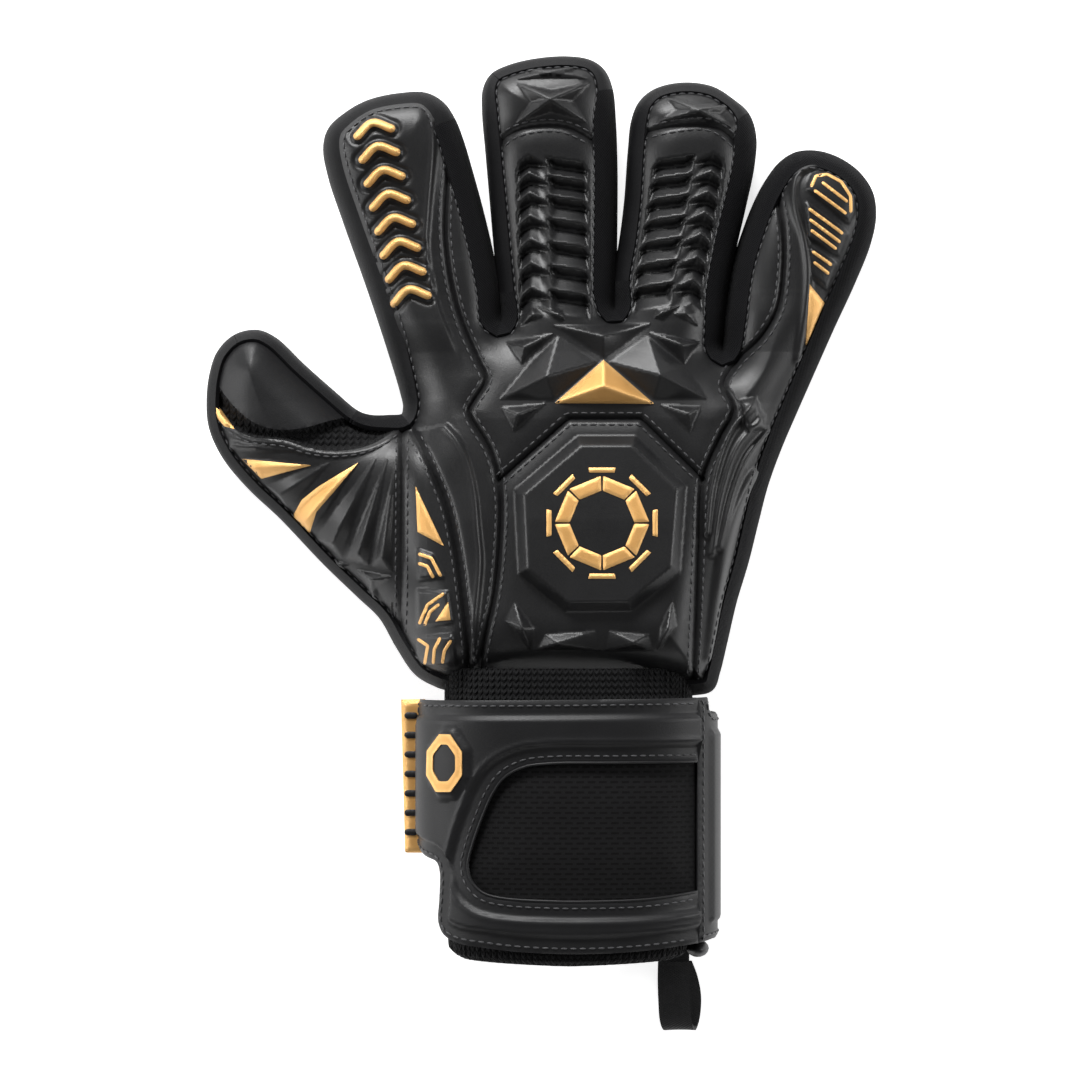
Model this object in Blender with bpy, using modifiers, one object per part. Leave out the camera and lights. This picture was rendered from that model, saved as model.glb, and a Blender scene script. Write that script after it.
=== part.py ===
"""Goalkeeper glove for the right hand, lying palm down.

The frame: +Y runs along the fingers, +X to the little-finger side, +Z up, through the back of the hand.
The origin is on the flat underside of the palm. All sizes below are in millimetres.
Fingers and hand are lofted from cross sections that are flat below and crowned above: a latex channel
rolls round the palm side and the flanks, and a back panel closes it like a lid.
"""

import math

import bmesh
import bpy
from mathutils import Vector

MM = 0.001

# ---- driving dimensions, in millimetres ----

GAP = 0.4                # between pieces that touch on the real glove
SEAM_GAP = 0.5           # on each side of a seam between two back panels
END_GAP = 1.5            # between a segment's end and its bending line
LATEX_THICK = 4.5        # palm latex with its foam
PANEL_THICK = 4.5        # moulded back panels
CORNER = 8.0             # radius of the rolled edge under a finger or the palm
FINGER_CROWN = 2.6       # exponent of a finger's crown: 2 is an ellipse, more is squarer
HAND_CROWN = 3.0
LATEX_EDGE = 0.985       # where the latex ends on a finger's flank, as a share of the half width
PANEL_SHARES = (-0.95, -0.85, -0.5, 0.0, 0.5, 0.85, 0.95)
HAND_LATEX_EDGE = 0.982
HINGE_Z = 7.0            # height of the bending lines, inside the palm foam
KNUCKLE_RANGE = 50.0     # degrees
MIDDLE_RANGE = 60.0
THUMB_FOLD_RANGE = 45.0
THUMB_TIP_RANGE = 50.0
SPINE_HALF = 4.5
SPINE_THICK = 1.4
CREASE_RISE = 0.5        # the soft crease strips lie a little above the palm's underside
CREASE_THICK = 2.6
HEM_Y = -48.5            # where the hand ends and the wrist begins

# Each finger: (y, left x, right x) at its knuckle, its middle joint and before its tip, then its tip's y.
FINGERS = {
    "index": {"edges": [(67, -60.0, -23.2), (91, -68.6, -28.7), (112, -74.0, -34.5)], "tip": 127.5},
    "middle": {"edges": [(68, -22.0, 10.8), (94, -23.6, 11.3), (122, -26.0, 11.0)], "tip": 138.5},
    "ring": {"edges": [(67, 12.2, 44.4), (91, 15.3, 49.2), (114, 17.8, 53.2)], "tip": 131.0},
    "little": {"edges": [(58, 43.8, 76.6), (79, 49.6, 86.0), (96, 55.8, 89.0)], "tip": 110.0},
}
FINGER_HEIGHT = [(50, 31.0), (90, 29.5), (115, 27.5), (140, 26.5)]
TIP_SHAPE = 2.4          # exponent of the fingertips' outline

# The thumb: (web side x, y), (outer side x, y), height, from the fold line to the tip.
THUMB_BASE = [
    ((-54.4, 29.0), (-54.4, -37.0), 38.0),
    ((-64.0, 30.5), (-70.5, -18.0), 35.5),
    ((-69.0, 34.0), (-83.0, -5.0), 33.0),
    ((-73.2, 37.6), (-97.0, 10.0), 31.0),
]
THUMB_TIP = [
    ((-74.0, 38.4), (-97.8, 11.0), 31.0),
    ((-82.5, 46.0), (-106.5, 23.0), 29.0),
    ((-90.5, 52.5), (-110.0, 35.0), 25.0),
    ((-95.5, 54.5), (-109.0, 43.0), 19.0),
    ((-98.5, 54.5), (-107.0, 47.0), 14.0),
]
FOLD_X = -54.0           # the thumb's fold line, parallel to Y

# The hand's outline: (y, x) down each side. The crown on the thumb side reaches past the fold line.
HAND_LEFT = [(-49, -42.5), (-44, -48.5), (-37, -53.6), (29, -53.6), (33, -51.5), (38, -51.5), (52, -55.8), (67, -60)]
CROWN_LEFT = [(-49, -45), (-38, -58), (-20, -76), (0, -80), (20, -70), (32, -59), (45, -57), (67, -61)]
HAND_RIGHT = [(-49, 43), (-25, 47.5), (0, 54), (24, 61.5), (33, 66), (47, 72), (58, 76.6), (67, 81)]
HAND_HEIGHT = [(-49, 47.0), (-30, 45.0), (0, 42.5), (30, 38.0), (50, 33.5), (67, 31.0)]

# Seams between the back panels, as (y, x).
GOLD_LEFT_SEAM = [(-45, -52.5), (-39, -52.5), (-24, -51.6), (29, -51.6)]
GOLD_RIGHT_SEAM = [(-45, -31.6), (-24, -32.4), (-6, -35.1), (6, -39.0), (18, -45.0), (27, -49.6)]
INDEX_SEAM = [(-45, -28.6), (-30, -25.5), (-12, -21.9), (9, -22.5), (24, -28.5), (32, -31.8), (42, -26.4),
              (55, -31.5), (67, -35.1)]
LITTLE_SEAM = [(-45, 34.5), (-12, 36.6), (12, 37.6), (24, 42.9), (33, 47.4), (40, 44.1), (45, 43.0), (67, 43.0)]
ROOF_EDGE = [(0.0, 11.7), (0.34, 30.0), (0.70, 30.0), (1.0, 12.0)]   # (share of the width, y)
OCTAGON_CENTRE = (7.8, 0.0)
OCTAGON_HALF = (24.0, 27.0)
OCTAGON_RAISE = 4.0

# The wrist: an upright superellipse in XZ, run along Y.
WRIST_X = -2.0
WRIST_Z = 26.5
WRIST_HALF_X = 38.3
WRIST_HALF_Z = 20.2
WRIST_SHAPE = 2.5
CUFF_END_Y = -132.0
STRAP_TOP_Y = -53.4
STRAP_LOW_Y = -125.0
STRAP_STEP_Y = -101.0    # the free end is narrower than the strap
STRAP_HINGE = 34.0       # degrees round the wrist from +X, over the back
STRAP_STEP = 150.0
STRAP_END = 176.0
WRAP_START = 183.0
WINDOW = (42.0, 122.0, -109.5, -72.0)
LAYER_LOOP = (0.3, 0.9)      # (distance from the wristband, thickness) of each layer on the wrist
LAYER_HOOK = (1.5, 0.9)
LAYER_BAND = (2.7, 1.0)
LAYER_FRAME = (4.0, 2.2)
LAYER_MESH = (4.0, 1.0)
LAYER_BADGE = (6.5, 1.0)
LAYER_WRAP = (0.4, 5.2)

LOOP_HINGE = (30.0, -133.2, 4.2)
LOOP_LENGTH = 20.5
LOOP_HEIGHT = 7.6
LOOP_WIDTH = 9.6
LOOP_THICK = 1.2

COLLECTION = "goalkeeper_glove"

COLOURS = {
    "latex": ((0.022, 0.022, 0.024), 0.55, 0.0),
    "back_foam": ((0.026, 0.026, 0.028), 0.50, 0.0),
    "textile": ((0.012, 0.012, 0.013), 0.85, 0.0),
    "knit": ((0.015, 0.015, 0.016), 0.95, 0.0),
    "mesh": ((0.014, 0.014, 0.015), 0.80, 0.0),
    "gold": ((0.62, 0.37, 0.11), 0.38, 0.85),
    "spine": ((0.55, 0.56, 0.58), 0.45, 0.0),
    "hook": ((0.03, 0.03, 0.03), 0.90, 0.0),
}


# ---- small helpers ----

def along(line, place):
    """The value at place on a line through (place, value) points, held flat past its ends."""
    if place <= line[0][0]:
        return line[0][1]
    for (a, low), (b, high) in zip(line, line[1:]):
        if place <= b:
            return low + (high - low) * (place - a) / (b - a)
    return line[-1][1]


def mix(a, b, share):
    return a + (b - a) * share


def clear_scene():
    for item in list(bpy.data.objects):
        bpy.data.objects.remove(item, do_unlink=True)


def make_collection(name):
    collection = bpy.data.collections.new(name)
    bpy.context.scene.collection.children.link(collection)
    return collection


def make_material(name):
    colour, roughness, metallic = COLOURS[name]
    material = bpy.data.materials.new(name)
    material.use_nodes = True
    shader = material.node_tree.nodes["Principled BSDF"]
    shader.inputs["Base Color"].default_value = (*colour, 1.0)
    shader.inputs["Roughness"].default_value = roughness
    shader.inputs["Metallic"].default_value = metallic
    return material


class Glove:
    """The collection, the materials and the empties that stand on the joints' axes."""

    def __init__(self):
        self.collection = make_collection(COLLECTION)
        self.materials = {name: make_material(name) for name in COLOURS}
        self.pivots = {"hand": (None, Vector((0, 0, 0)))}

    def pivot(self, body, parent, point):
        """An empty on a joint's axis, which the body's pieces are parented to."""
        empty = bpy.data.objects.new("pivot_" + body, None)
        self.collection.objects.link(empty)
        parent_empty, parent_point = self.pivots[parent]
        empty.parent = parent_empty
        empty.location = (Vector(point) - parent_point) * MM
        self.pivots[body] = (empty, Vector(point))

    def add(self, name, body, material, mesh):
        """Puts a finished mesh, drawn about its body's pivot, into the model."""
        mesh.materials.append(self.materials[material])
        piece = bpy.data.objects.new(name, mesh)
        self.collection.objects.link(piece)
        piece.parent = self.pivots[body][0]
        return piece

    def shell(self, name, body, material, columns, rows, place, thickness, end_wall=False):
        """A grid of columns by rows points, each put where place(column, row) says, made solid inwards."""
        origin = self.pivots[body][1]
        form = bmesh.new()
        bmesh.ops.create_grid(form, x_segments=columns - 1, y_segments=rows - 1, size=1.0)
        last_row = {}
        for vertex in form.verts:
            column = round((vertex.co.x + 1) / 2 * (columns - 1))
            row = round((vertex.co.y + 1) / 2 * (rows - 1))
            vertex.co = (Vector(place(column, row)) - origin) * MM
            if row == rows - 1:
                last_row[column] = vertex
        if end_wall:
            form.faces.new([last_row[k] for k in range(columns)])
        mesh = bpy.data.meshes.new(name)
        form.to_mesh(mesh)
        form.free()
        piece = self.add(name, body, material, mesh)
        self.solidify(piece, thickness)
        return piece

    def solidify(self, piece, thickness):
        wall = piece.modifiers.new("wall", "SOLIDIFY")
        wall.thickness = thickness * MM
        wall.offset = -1.0
        wall.use_even_offset = True

    def box(self, name, body, material, low, high):
        origin = self.pivots[body][1]
        centre = (Vector(low) + Vector(high)) / 2
        size = Vector(high) - Vector(low)
        form = bmesh.new()
        bmesh.ops.create_cube(form, size=1.0)
        for vertex in form.verts:
            vertex.co = (centre + vertex.co * size - origin) * MM
        mesh = bpy.data.meshes.new(name)
        form.to_mesh(mesh)
        form.free()
        return self.add(name, body, material, mesh)


# ---- cross sections ----

def crown(share, low, high, shape):
    """Height of the crowned upper side at a share of the half width from the middle."""
    share = min(abs(share), 1.0)
    return low + (high - low) * (1 - share**shape) ** (1 / shape)


def corner_of(low, high):
    """The rolled edge's radius, smaller where a section is low."""
    return min(CORNER, 0.32 * (high - low))


def lower_ring(half, low, high):
    """Points of a finger section from its right flank, down and under, to its left flank, as (across, up)."""
    corner = corner_of(low, high)
    right = [(half * s, crown(s, low + corner, high, FINGER_CROWN)) for s in (LATEX_EDGE, 1.0)]
    for degrees in (30, 60):
        turn = math.radians(degrees)
        right.append((half - corner + corner * math.cos(turn), low + corner - corner * math.sin(turn)))
    right.append((half - corner, low))
    middle = [(0.0, low)]
    left = [(-across, up) for across, up in reversed(right)]
    return right + middle + left


def upper_ring(half, low, high):
    """Points of a finger section over the crown, from left to right, as (across, up)."""
    corner = corner_of(low, high)
    return [(half * s, crown(s, low + corner, high, FINGER_CROWN)) for s in PANEL_SHARES]


def notch(up, turn_range):
    """How far an end is set back from the bending line at a height, so that two ends meet at full bend."""
    return END_GAP + max(0.0, HINGE_Z - up) * math.tan(math.radians(turn_range) / 2)


# ---- fingers ----

def finger_edges(finger, y):
    """Left and right edge of a finger at y, its underside and its height, round at the tip."""
    stations = finger["edges"]
    last_y = stations[-1][0]
    left = along([(s[0], s[1]) for s in stations], min(y, last_y))
    right = along([(s[0], s[2]) for s in stations], min(y, last_y))
    high = along(FINGER_HEIGHT, y)
    if y <= last_y:
        return left, right, 0.0, high
    reach = min((y - last_y) / (finger["tip"] - last_y), 0.93)
    scale = (1 - reach**TIP_SHAPE) ** (1 / TIP_SHAPE)
    lean = (stations[-1][1] + stations[-1][2] - stations[-2][1] - stations[-2][2]) / 2
    centre = (left + right) / 2 + lean * (y - last_y) / (last_y - stations[-2][0])
    half = (right - left) / 2 * scale
    low = 6.0 * (1 - scale)
    return centre - half, centre + half, low, low + (high - low) * mix(0.62, 1.0, scale)


def finger_section(finger, y):
    left, right, low, high = finger_edges(finger, y)
    return (left + right) / 2, (right - left) / 2, low, high


def finger_latex(glove, name, body, finger, rows, start_range, end_range, end_wall):
    """The latex channel of one finger segment. Its ends are notched for the bends next to them."""
    columns = len(lower_ring(20, 0, 30))

    def place(column, row):
        middle, half, low, high = finger_section(finger, rows[row])
        across, up = lower_ring(half, low, high)[column]
        y = rows[row]
        if row == 0:
            y += notch(up, start_range)
        if row == len(rows) - 1 and not end_wall:
            y -= notch(up, end_range)
        return middle + across, y, up

    glove.shell(name, body, "latex", columns, len(rows), place, LATEX_THICK, end_wall)


def finger_panel(glove, name, body, finger, rows, end_wall):
    """The back panel of one finger segment."""

    def place(column, row):
        middle, half, low, high = finger_section(finger, rows[row])
        across, up = upper_ring(half, low, high)[column]
        y = rows[row]
        if row == 0:
            y += END_GAP
        if row == len(rows) - 1 and not end_wall:
            y -= END_GAP
        return middle + across, y, up

    glove.shell(name, body, "back_foam", len(PANEL_SHARES), len(rows), place, PANEL_THICK)


def finger_spine(glove, name, body, finger, rows):
    """The plastic strip under the back panel."""

    def place(column, row):
        middle, half, low, high = finger_section(finger, rows[row])
        across = (-SPINE_HALF, SPINE_HALF)[column]
        top = crown(SPINE_HALF / half, low + CORNER, high, FINGER_CROWN) - PANEL_THICK - 1.2
        return middle + across, rows[row], top

    glove.shell(name, body, "spine", 2, len(rows), place, SPINE_THICK)


def finger_crease(glove, name, body, finger, y, turn_range):
    """The soft strip of latex that fills the notch under a bending line."""
    steps = 5

    def place(column, row):
        middle, half, low, high = finger_section(finger, y)
        reach = half - CORNER * 1.25
        across = mix(reach, -reach, column / (steps - 1))
        side = (-1, 1)[row]
        return middle + across, y + side * (notch(CREASE_RISE, turn_range) - GAP), CREASE_RISE

    glove.shell(name, body, "textile", steps, 2, place, CREASE_THICK)


def build_finger(glove, name):
    finger = FINGERS[name]
    knuckle_y, joint_y, last_y = [station[0] for station in finger["edges"]]
    knuckle_x, joint_x = [(s[1] + s[2]) / 2 for s in finger["edges"][:2]]
    base, tip = name + "_base", name + "_tip"
    glove.pivot(base, "hand", (knuckle_x, knuckle_y, HINGE_Z))
    glove.pivot(tip, base, (joint_x, joint_y, HINGE_Z))

    base_rows = [knuckle_y, (knuckle_y + joint_y) / 2, joint_y]
    finger_latex(glove, base + "_latex", base, finger, base_rows, KNUCKLE_RANGE, MIDDLE_RANGE, False)
    finger_panel(glove, base + "_panel", base, finger, base_rows, False)
    finger_spine(glove, base + "_spine", base, finger, [knuckle_y + 1.5, joint_y - 1.5])

    reach = finger["tip"] - last_y
    tip_rows = [joint_y, (joint_y + last_y) / 2, last_y, last_y + 0.5 * reach, last_y + 0.8 * reach, finger["tip"]]
    finger_latex(glove, tip + "_latex", tip, finger, tip_rows, MIDDLE_RANGE, 0.0, True)
    finger_panel(glove, tip + "_panel", tip, finger, tip_rows, True)
    finger_spine(glove, tip + "_spine", tip, finger, [joint_y + 1.5, last_y - 1.0])

    finger_crease(glove, name + "_knuckle_crease", base, finger, knuckle_y, KNUCKLE_RANGE)
    finger_crease(glove, name + "_middle_crease", tip, finger, joint_y, MIDDLE_RANGE)


# ---- thumb ----

def thumb_point(station, across, up):
    """A point of a thumb section: across is from -1 on the web side to 1 on the outer side."""
    web, outer, _ = station
    share = (across + 1) / 2
    return mix(web[0], outer[0], share), mix(web[1], outer[1], share), up


def thumb_half(station):
    web, outer, _ = station
    return math.dist(web, outer) / 2


def thumb_segment(glove, body, stations, start_range, end_range, end_wall, names):
    """The latex and the back panel of a thumb segment."""
    latex_name, panel_name = names
    columns = len(lower_ring(20, 0, 30))
    heading = []
    for k, station in enumerate(stations):
        before = stations[max(k - 1, 0)]
        after = stations[min(k + 1, len(stations) - 1)]
        start = (Vector(before[0]) + Vector(before[1])) / 2
        end = (Vector(after[0]) + Vector(after[1])) / 2
        heading.append((end - start).normalized())
    heading[0] = cross_heading(stations[0])
    if not end_wall:
        heading[-1] = cross_heading(stations[-1])
    last = len(stations) - 1

    def set_back(point, row, distance):
        step = heading[row] * distance
        return point[0] + step.x, point[1] + step.y, point[2]

    def underside(row):
        return {last: 5.0, last - 1: 2.0}.get(row, 0.0) if end_wall else 0.0

    def place_latex(column, row):
        station = stations[row]
        half = thumb_half(station)
        low = underside(row)
        across, up = lower_ring(half, low, low + station[2])[column]
        point = thumb_point(station, across / half, up)
        if row == 0:
            point = set_back(point, row, notch(up, start_range))
        if row == last and not end_wall:
            point = set_back(point, row, -notch(up, end_range))
        return point

    def place_panel(column, row):
        station = stations[row]
        half = thumb_half(station)
        low = underside(row)
        across, up = upper_ring(half, low, low + station[2])[-1 - column]
        point = thumb_point(station, across / half, up)
        if row == 0:
            point = set_back(point, row, END_GAP)
        if row == last and not end_wall:
            point = set_back(point, row, -END_GAP)
        return point

    glove.shell(latex_name, body, "latex", columns, len(stations), mirrored(place_latex, columns), LATEX_THICK,
                end_wall)
    glove.shell(panel_name, body, "back_foam", len(PANEL_SHARES), len(stations), place_panel, PANEL_THICK)


def mirrored(place, columns):
    """The same points with the columns the other way round, which turns the faces over."""
    return lambda column, row: place(columns - 1 - column, row)


def cross_heading(station):
    """The direction that a section faces, towards the thumb's tip."""
    web, outer, _ = station
    across = (Vector(outer) - Vector(web)).normalized()
    return Vector((across.y, -across.x))


def thumb_crease(glove, name, body, station, turn_range):
    """The soft strip of latex that fills the notch under one of the thumb's bending lines."""
    steps = 5
    half = thumb_half(station)
    heading = cross_heading(station)

    def place(column, row):
        reach = half - CORNER * 1.25
        across = mix(-reach, reach, column / (steps - 1))
        distance = (-1, 1)[row] * (notch(CREASE_RISE, turn_range) - 3 * GAP)
        x, y, up = thumb_point(station, across / half, CREASE_RISE)
        return x + heading.x * distance, y + heading.y * distance, up

    glove.shell(name, body, "textile", steps, 2, place, CREASE_THICK)


def build_thumb(glove):
    fold = THUMB_BASE[0]
    bend = THUMB_TIP[0]
    bend_middle = thumb_point(bend, 0.0, HINGE_Z)
    glove.pivot("thumb_base", "hand", (FOLD_X, (fold[0][1] + fold[1][1]) / 2, HINGE_Z))
    glove.pivot("thumb_tip", "thumb_base", bend_middle)
    fold_line = ((FOLD_X, fold[0][1]), (FOLD_X, fold[1][1]), fold[2])
    base = [fold_line] + THUMB_BASE[1:3] + [bend]
    thumb_segment(glove, "thumb_base", base, THUMB_FOLD_RANGE, THUMB_TIP_RANGE, False,
                  ("thumb_base_latex", "thumb_fan_panel"))
    thumb_segment(glove, "thumb_tip", THUMB_TIP, THUMB_TIP_RANGE, 0.0, True,
                  ("thumb_tip_latex", "thumb_tip_panel"))
    thumb_crease(glove, "thumb_fold_crease", "thumb_base", fold_line, THUMB_FOLD_RANGE)
    thumb_crease(glove, "thumb_tip_crease", "thumb_tip", bend, THUMB_TIP_RANGE)


# ---- hand ----

def hand_crown(x, y):
    """Height of the back of the hand over a point."""
    left, right = along(CROWN_LEFT, y), along(HAND_RIGHT, y)
    share = (x - (left + right) / 2) / ((right - left) / 2)
    return crown(share, CORNER, along(HAND_HEIGHT, y), HAND_CROWN)


def octagon_rise(x, y):
    """How far the octagonal pad stands out of its panel."""
    across = abs(x - OCTAGON_CENTRE[0]) / OCTAGON_HALF[0]
    length = abs(y - OCTAGON_CENTRE[1]) / OCTAGON_HALF[1]
    inside = 1.0 - max(across, length, (across + length) / 1.45)
    return OCTAGON_RAISE * min(max(inside / 0.2, 0.0), 1.0)


def hand_panel(glove, name, material, columns, levels, left, right, low, high, rise=None):
    """A back panel between two side seams and two end edges, each end given as y at a share of the width.

    The levels are where its rows lie, from 0 at the low end to 1 at the high end.
    """
    rows = len(levels)

    def place(column, row):
        share = column / (columns - 1)
        y = mix(along(low, share), along(high, share), levels[row])
        x = mix(along(left, y) + SEAM_GAP, along(right, y) - SEAM_GAP, share)
        up = hand_crown(x, y)
        if rise:
            up += rise(x, y)
        return x, y, up

    glove.shell(name, "hand", material, columns, rows, place, PANEL_THICK)


def build_palm(glove):
    """The palm's latex: flat below, rolled up on the little-finger side, stepped at the fingers' roots."""
    shares = [0.0, 0.2, 0.4, 0.6, 0.765, 0.80, 0.9, 1.0]
    step = 4
    rows = 7
    index_y, little_y = FINGERS["index"]["edges"][0][0], FINGERS["little"]["edges"][0][0]
    turns = [math.radians(d) for d in (30, 60, 90)]
    columns = len(shares) + len(turns) + 1

    def place(column, row):
        front = index_y if column <= step else little_y
        y = mix(HEM_Y, front, row / (rows - 1))
        left, right = along(HAND_LEFT, y), along(HAND_RIGHT, y)
        high = along(HAND_HEIGHT, y)
        centre = (along(CROWN_LEFT, y) + right) / 2
        if column < len(shares):
            inset = notch(0.0, THUMB_FOLD_RANGE) if -37.0 <= y <= 29.0 else 1.0
            x = mix(left + inset, right - CORNER, shares[column])
            up = 0.0
        elif column < len(shares) + len(turns):
            turn = turns[column - len(shares)]
            x = right - CORNER + CORNER * math.sin(turn)
            up = CORNER - CORNER * math.cos(turn)
        else:
            x = centre + (right - centre) * HAND_LATEX_EDGE
            up = crown(HAND_LATEX_EDGE, CORNER, high, HAND_CROWN)
        if row == rows - 1:
            y -= notch(up, KNUCKLE_RANGE)
        return x, y, up

    glove.shell("palm_latex", "hand", "latex", columns, rows, mirrored(place, columns), LATEX_THICK)


def build_side_wall(glove):
    """The textile wall that closes the index side of the hand between the thumb web and the finger."""
    heights = (LATEX_THICK + GAP, 10.0, 16.0)
    ys = (31.0, 38.0, 52.0, FINGERS["index"]["edges"][0][0] - 1.0)

    def place(column, row):
        y = ys[row]
        return along(HAND_LEFT, y) + 0.3, y, heights[column]

    glove.shell("index_side_wall", "hand", "textile", len(heights), len(ys), place, 2.5)


def level(y):
    """An end edge that runs straight across at y."""
    return [(0.0, y), (1.0, y)]


def even(count):
    return [k / (count - 1) for k in range(count)]


def build_hand(glove):
    build_palm(glove)
    build_side_wall(glove)
    hem_y = HEM_Y + 4.0
    taper_y = -38.0
    front_y = FINGERS["index"]["edges"][0][0] - END_GAP
    little_front_y = FINGERS["little"]["edges"][0][0] - END_GAP
    roof_low = [(share, y - 2 * SEAM_GAP) for share, y in ROOF_EDGE]
    roof_high = [(share, y + 2 * SEAM_GAP) for share, y in ROOF_EDGE]

    knuckle_levels = even(7)
    hand_panel(glove, "knuckle_panel", "back_foam", 11, knuckle_levels, INDEX_SEAM, LITTLE_SEAM,
               roof_high, level(front_y))
    hand_panel(glove, "octagon_panel", "back_foam", 13, even(11), INDEX_SEAM, LITTLE_SEAM,
               level(hem_y), roof_low, octagon_rise)

    index_ys = [taper_y, -30.0, -20.0, -9.0, 2.0] + [mix(roof_high[0][1], front_y, k) for k in knuckle_levels]
    index_left = GOLD_RIGHT_SEAM + [(31.0, -50.8)] + [(y, x + 1.0) for y, x in HAND_LEFT[5:]]
    hand_panel(glove, "index_side_panel", "back_foam", 5, shares_of(index_ys), index_left, INDEX_SEAM,
               level(taper_y), level(front_y))
    little_ys = [hem_y, -30.0, -15.0, 0.0] + [mix(roof_high[-1][1], front_y, k) for k in knuckle_levels[:5]]
    little_right = [(y, x - 3.2) for y, x in HAND_RIGHT]
    hand_panel(glove, "little_side_panel", "back_foam", 5, shares_of(little_ys + [little_front_y]), LITTLE_SEAM,
               little_right, level(hem_y), level(little_front_y))
    hand_panel(glove, "gold_trim_panel", "back_foam", 4, even(8), GOLD_LEFT_SEAM, GOLD_RIGHT_SEAM,
               [(0.0, taper_y), (0.3, hem_y), (1.0, hem_y)], level(24.0))


def shares_of(ys):
    """Rows at these ys, as shares of the way from the first to the last."""
    return [(y - ys[0]) / (ys[-1] - ys[0]) for y in ys]


# ---- wrist ----

def wrist_point(degrees, distance, y):
    """A point at an angle round the wrist and a distance outside the wristband."""
    turn = math.radians(degrees)
    power = 2 / WRIST_SHAPE
    cosine, sine = math.cos(turn), math.sin(turn)
    x = (WRIST_HALF_X + distance) * math.copysign(abs(cosine) ** power, cosine)
    z = (WRIST_HALF_Z + distance) * math.copysign(abs(sine) ** power, sine)
    return WRIST_X + x, y, WRIST_Z + z


def wrist_patch(glove, name, body, material, stations, levels, layer, window=None):
    """A patch that follows the wrist. Each station is (degrees, lowest y, highest y)."""
    inner, thickness = layer
    columns, rows = len(stations), len(levels)

    def place(column, row):
        degrees, low, high = stations[column]
        return wrist_point(degrees, inner + thickness, mix(low, high, levels[row]))

    piece = glove.shell(name, body, material, columns, rows, mirrored(place, columns), thickness)
    if window:
        form = bmesh.new()
        form.from_mesh(piece.data)
        origin = glove.pivots[body][1]
        window_faces = [face for face in form.faces if window(face.calc_center_median() / MM + origin)]
        bmesh.ops.delete(form, geom=window_faces, context="FACES")
        form.to_mesh(piece.data)
        form.free()
    return piece


def build_wristband(glove):
    """The knit tube that the strap goes round."""
    sides = 32
    form = bmesh.new()
    bmesh.ops.create_cone(form, cap_ends=False, segments=sides, radius1=1.0, radius2=1.0, depth=2.0)
    for vertex in form.verts:
        degrees = math.degrees(math.atan2(vertex.co.y, vertex.co.x))
        y = HEM_Y - 0.5 if vertex.co.z > 0 else CUFF_END_Y
        vertex.co = Vector(wrist_point(degrees, 0.0, y)) * MM
    bmesh.ops.reverse_faces(form, faces=form.faces)
    mesh = bpy.data.meshes.new("wristband")
    form.to_mesh(mesh)
    form.free()
    piece = glove.add("wristband", "hand", "knit", mesh)
    glove.solidify(piece, 3.0)


def build_strap(glove):
    hinge = wrist_point(STRAP_HINGE, LAYER_FRAME[0] + LAYER_FRAME[1], (STRAP_TOP_Y + STRAP_LOW_Y) / 2)
    glove.pivot("strap", "hand", hinge)
    start = STRAP_HINGE + 1.5
    window_low, window_high, window_y_low, window_y_high = WINDOW
    full = [start, window_low, 58.0, 74.0, 90.0, 106.0, window_high, 136.0, STRAP_STEP - 2.0]
    end = [STRAP_STEP + 2.0, 164.0, STRAP_END]
    stations = [(d, STRAP_LOW_Y, STRAP_TOP_Y) for d in full] + [(d, STRAP_STEP_Y, STRAP_TOP_Y) for d in end]
    height = STRAP_TOP_Y - STRAP_LOW_Y
    window_levels = [(window_y_low - STRAP_LOW_Y) / height, (window_y_high - STRAP_LOW_Y) / height]
    levels = [0.0, window_levels[0], sum(window_levels) / 2, window_levels[1], 1.0]
    right_x = wrist_point(window_low, LAYER_FRAME[0], 0.0)[0]
    left_x = wrist_point(window_high, LAYER_FRAME[0], 0.0)[0]

    def in_window(point):
        return left_x < point.x < right_x and window_y_low < point.y < window_y_high

    wrist_patch(glove, "strap_band", "strap", "textile", stations, [0.0, 1.0], LAYER_BAND)
    wrist_patch(glove, "strap_frame", "strap", "latex", stations, levels, LAYER_FRAME, in_window)
    inside = [window_low + 0.8, 58.0, 74.0, 90.0, 106.0, window_high - 0.8]
    mesh_stations = [(d, window_y_low + 0.8, window_y_high - 0.8) for d in inside]
    wrist_patch(glove, "strap_mesh", "strap", "mesh", mesh_stations, [0.0, 1.0], LAYER_MESH)
    badge_middle, badge_half = -71.6, 10.6
    badge = [(130.0, 0.45), (135.0, 1.0), (142.0, 1.0), (149.0, 1.0), (155.0, 0.45)]
    badge_stations = [(d, badge_middle - badge_half * s, badge_middle + badge_half * s) for d, s in badge]
    wrist_patch(glove, "strap_badge", "strap", "latex", badge_stations, [0.0, 1.0], LAYER_BADGE)
    grip = [(d, STRAP_STEP_Y + 4.0, STRAP_TOP_Y - 4.0) for d in (132.0, 148.0, 158.0, 170.0)]
    wrist_patch(glove, "hook_patch", "strap", "hook", grip, [0.0, 1.0], LAYER_HOOK)
    wrist_patch(glove, "loop_patch", "hand", "hook", grip, [0.0, 1.0], LAYER_LOOP)
    tab_x = wrist_point(180.0, LAYER_FRAME[0] + LAYER_FRAME[1], 0.0)[0]
    glove.box("pull_tab", "strap", "gold", (tab_x - 5.4, STRAP_STEP_Y + 1.7, WRIST_Z - 0.3),
              (tab_x + 3.6, STRAP_TOP_Y, WRIST_Z + 2.2))
    turns = [WRAP_START + (360.0 + STRAP_HINGE - 1.0 - WRAP_START) * k / 13 for k in range(14)]
    wrap_stations = [(d, STRAP_LOW_Y, STRAP_TOP_Y) for d in turns]
    wrist_patch(glove, "strap_wrap", "hand", "latex", wrap_stations, [0.0, 1.0], LAYER_WRAP)


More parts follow.
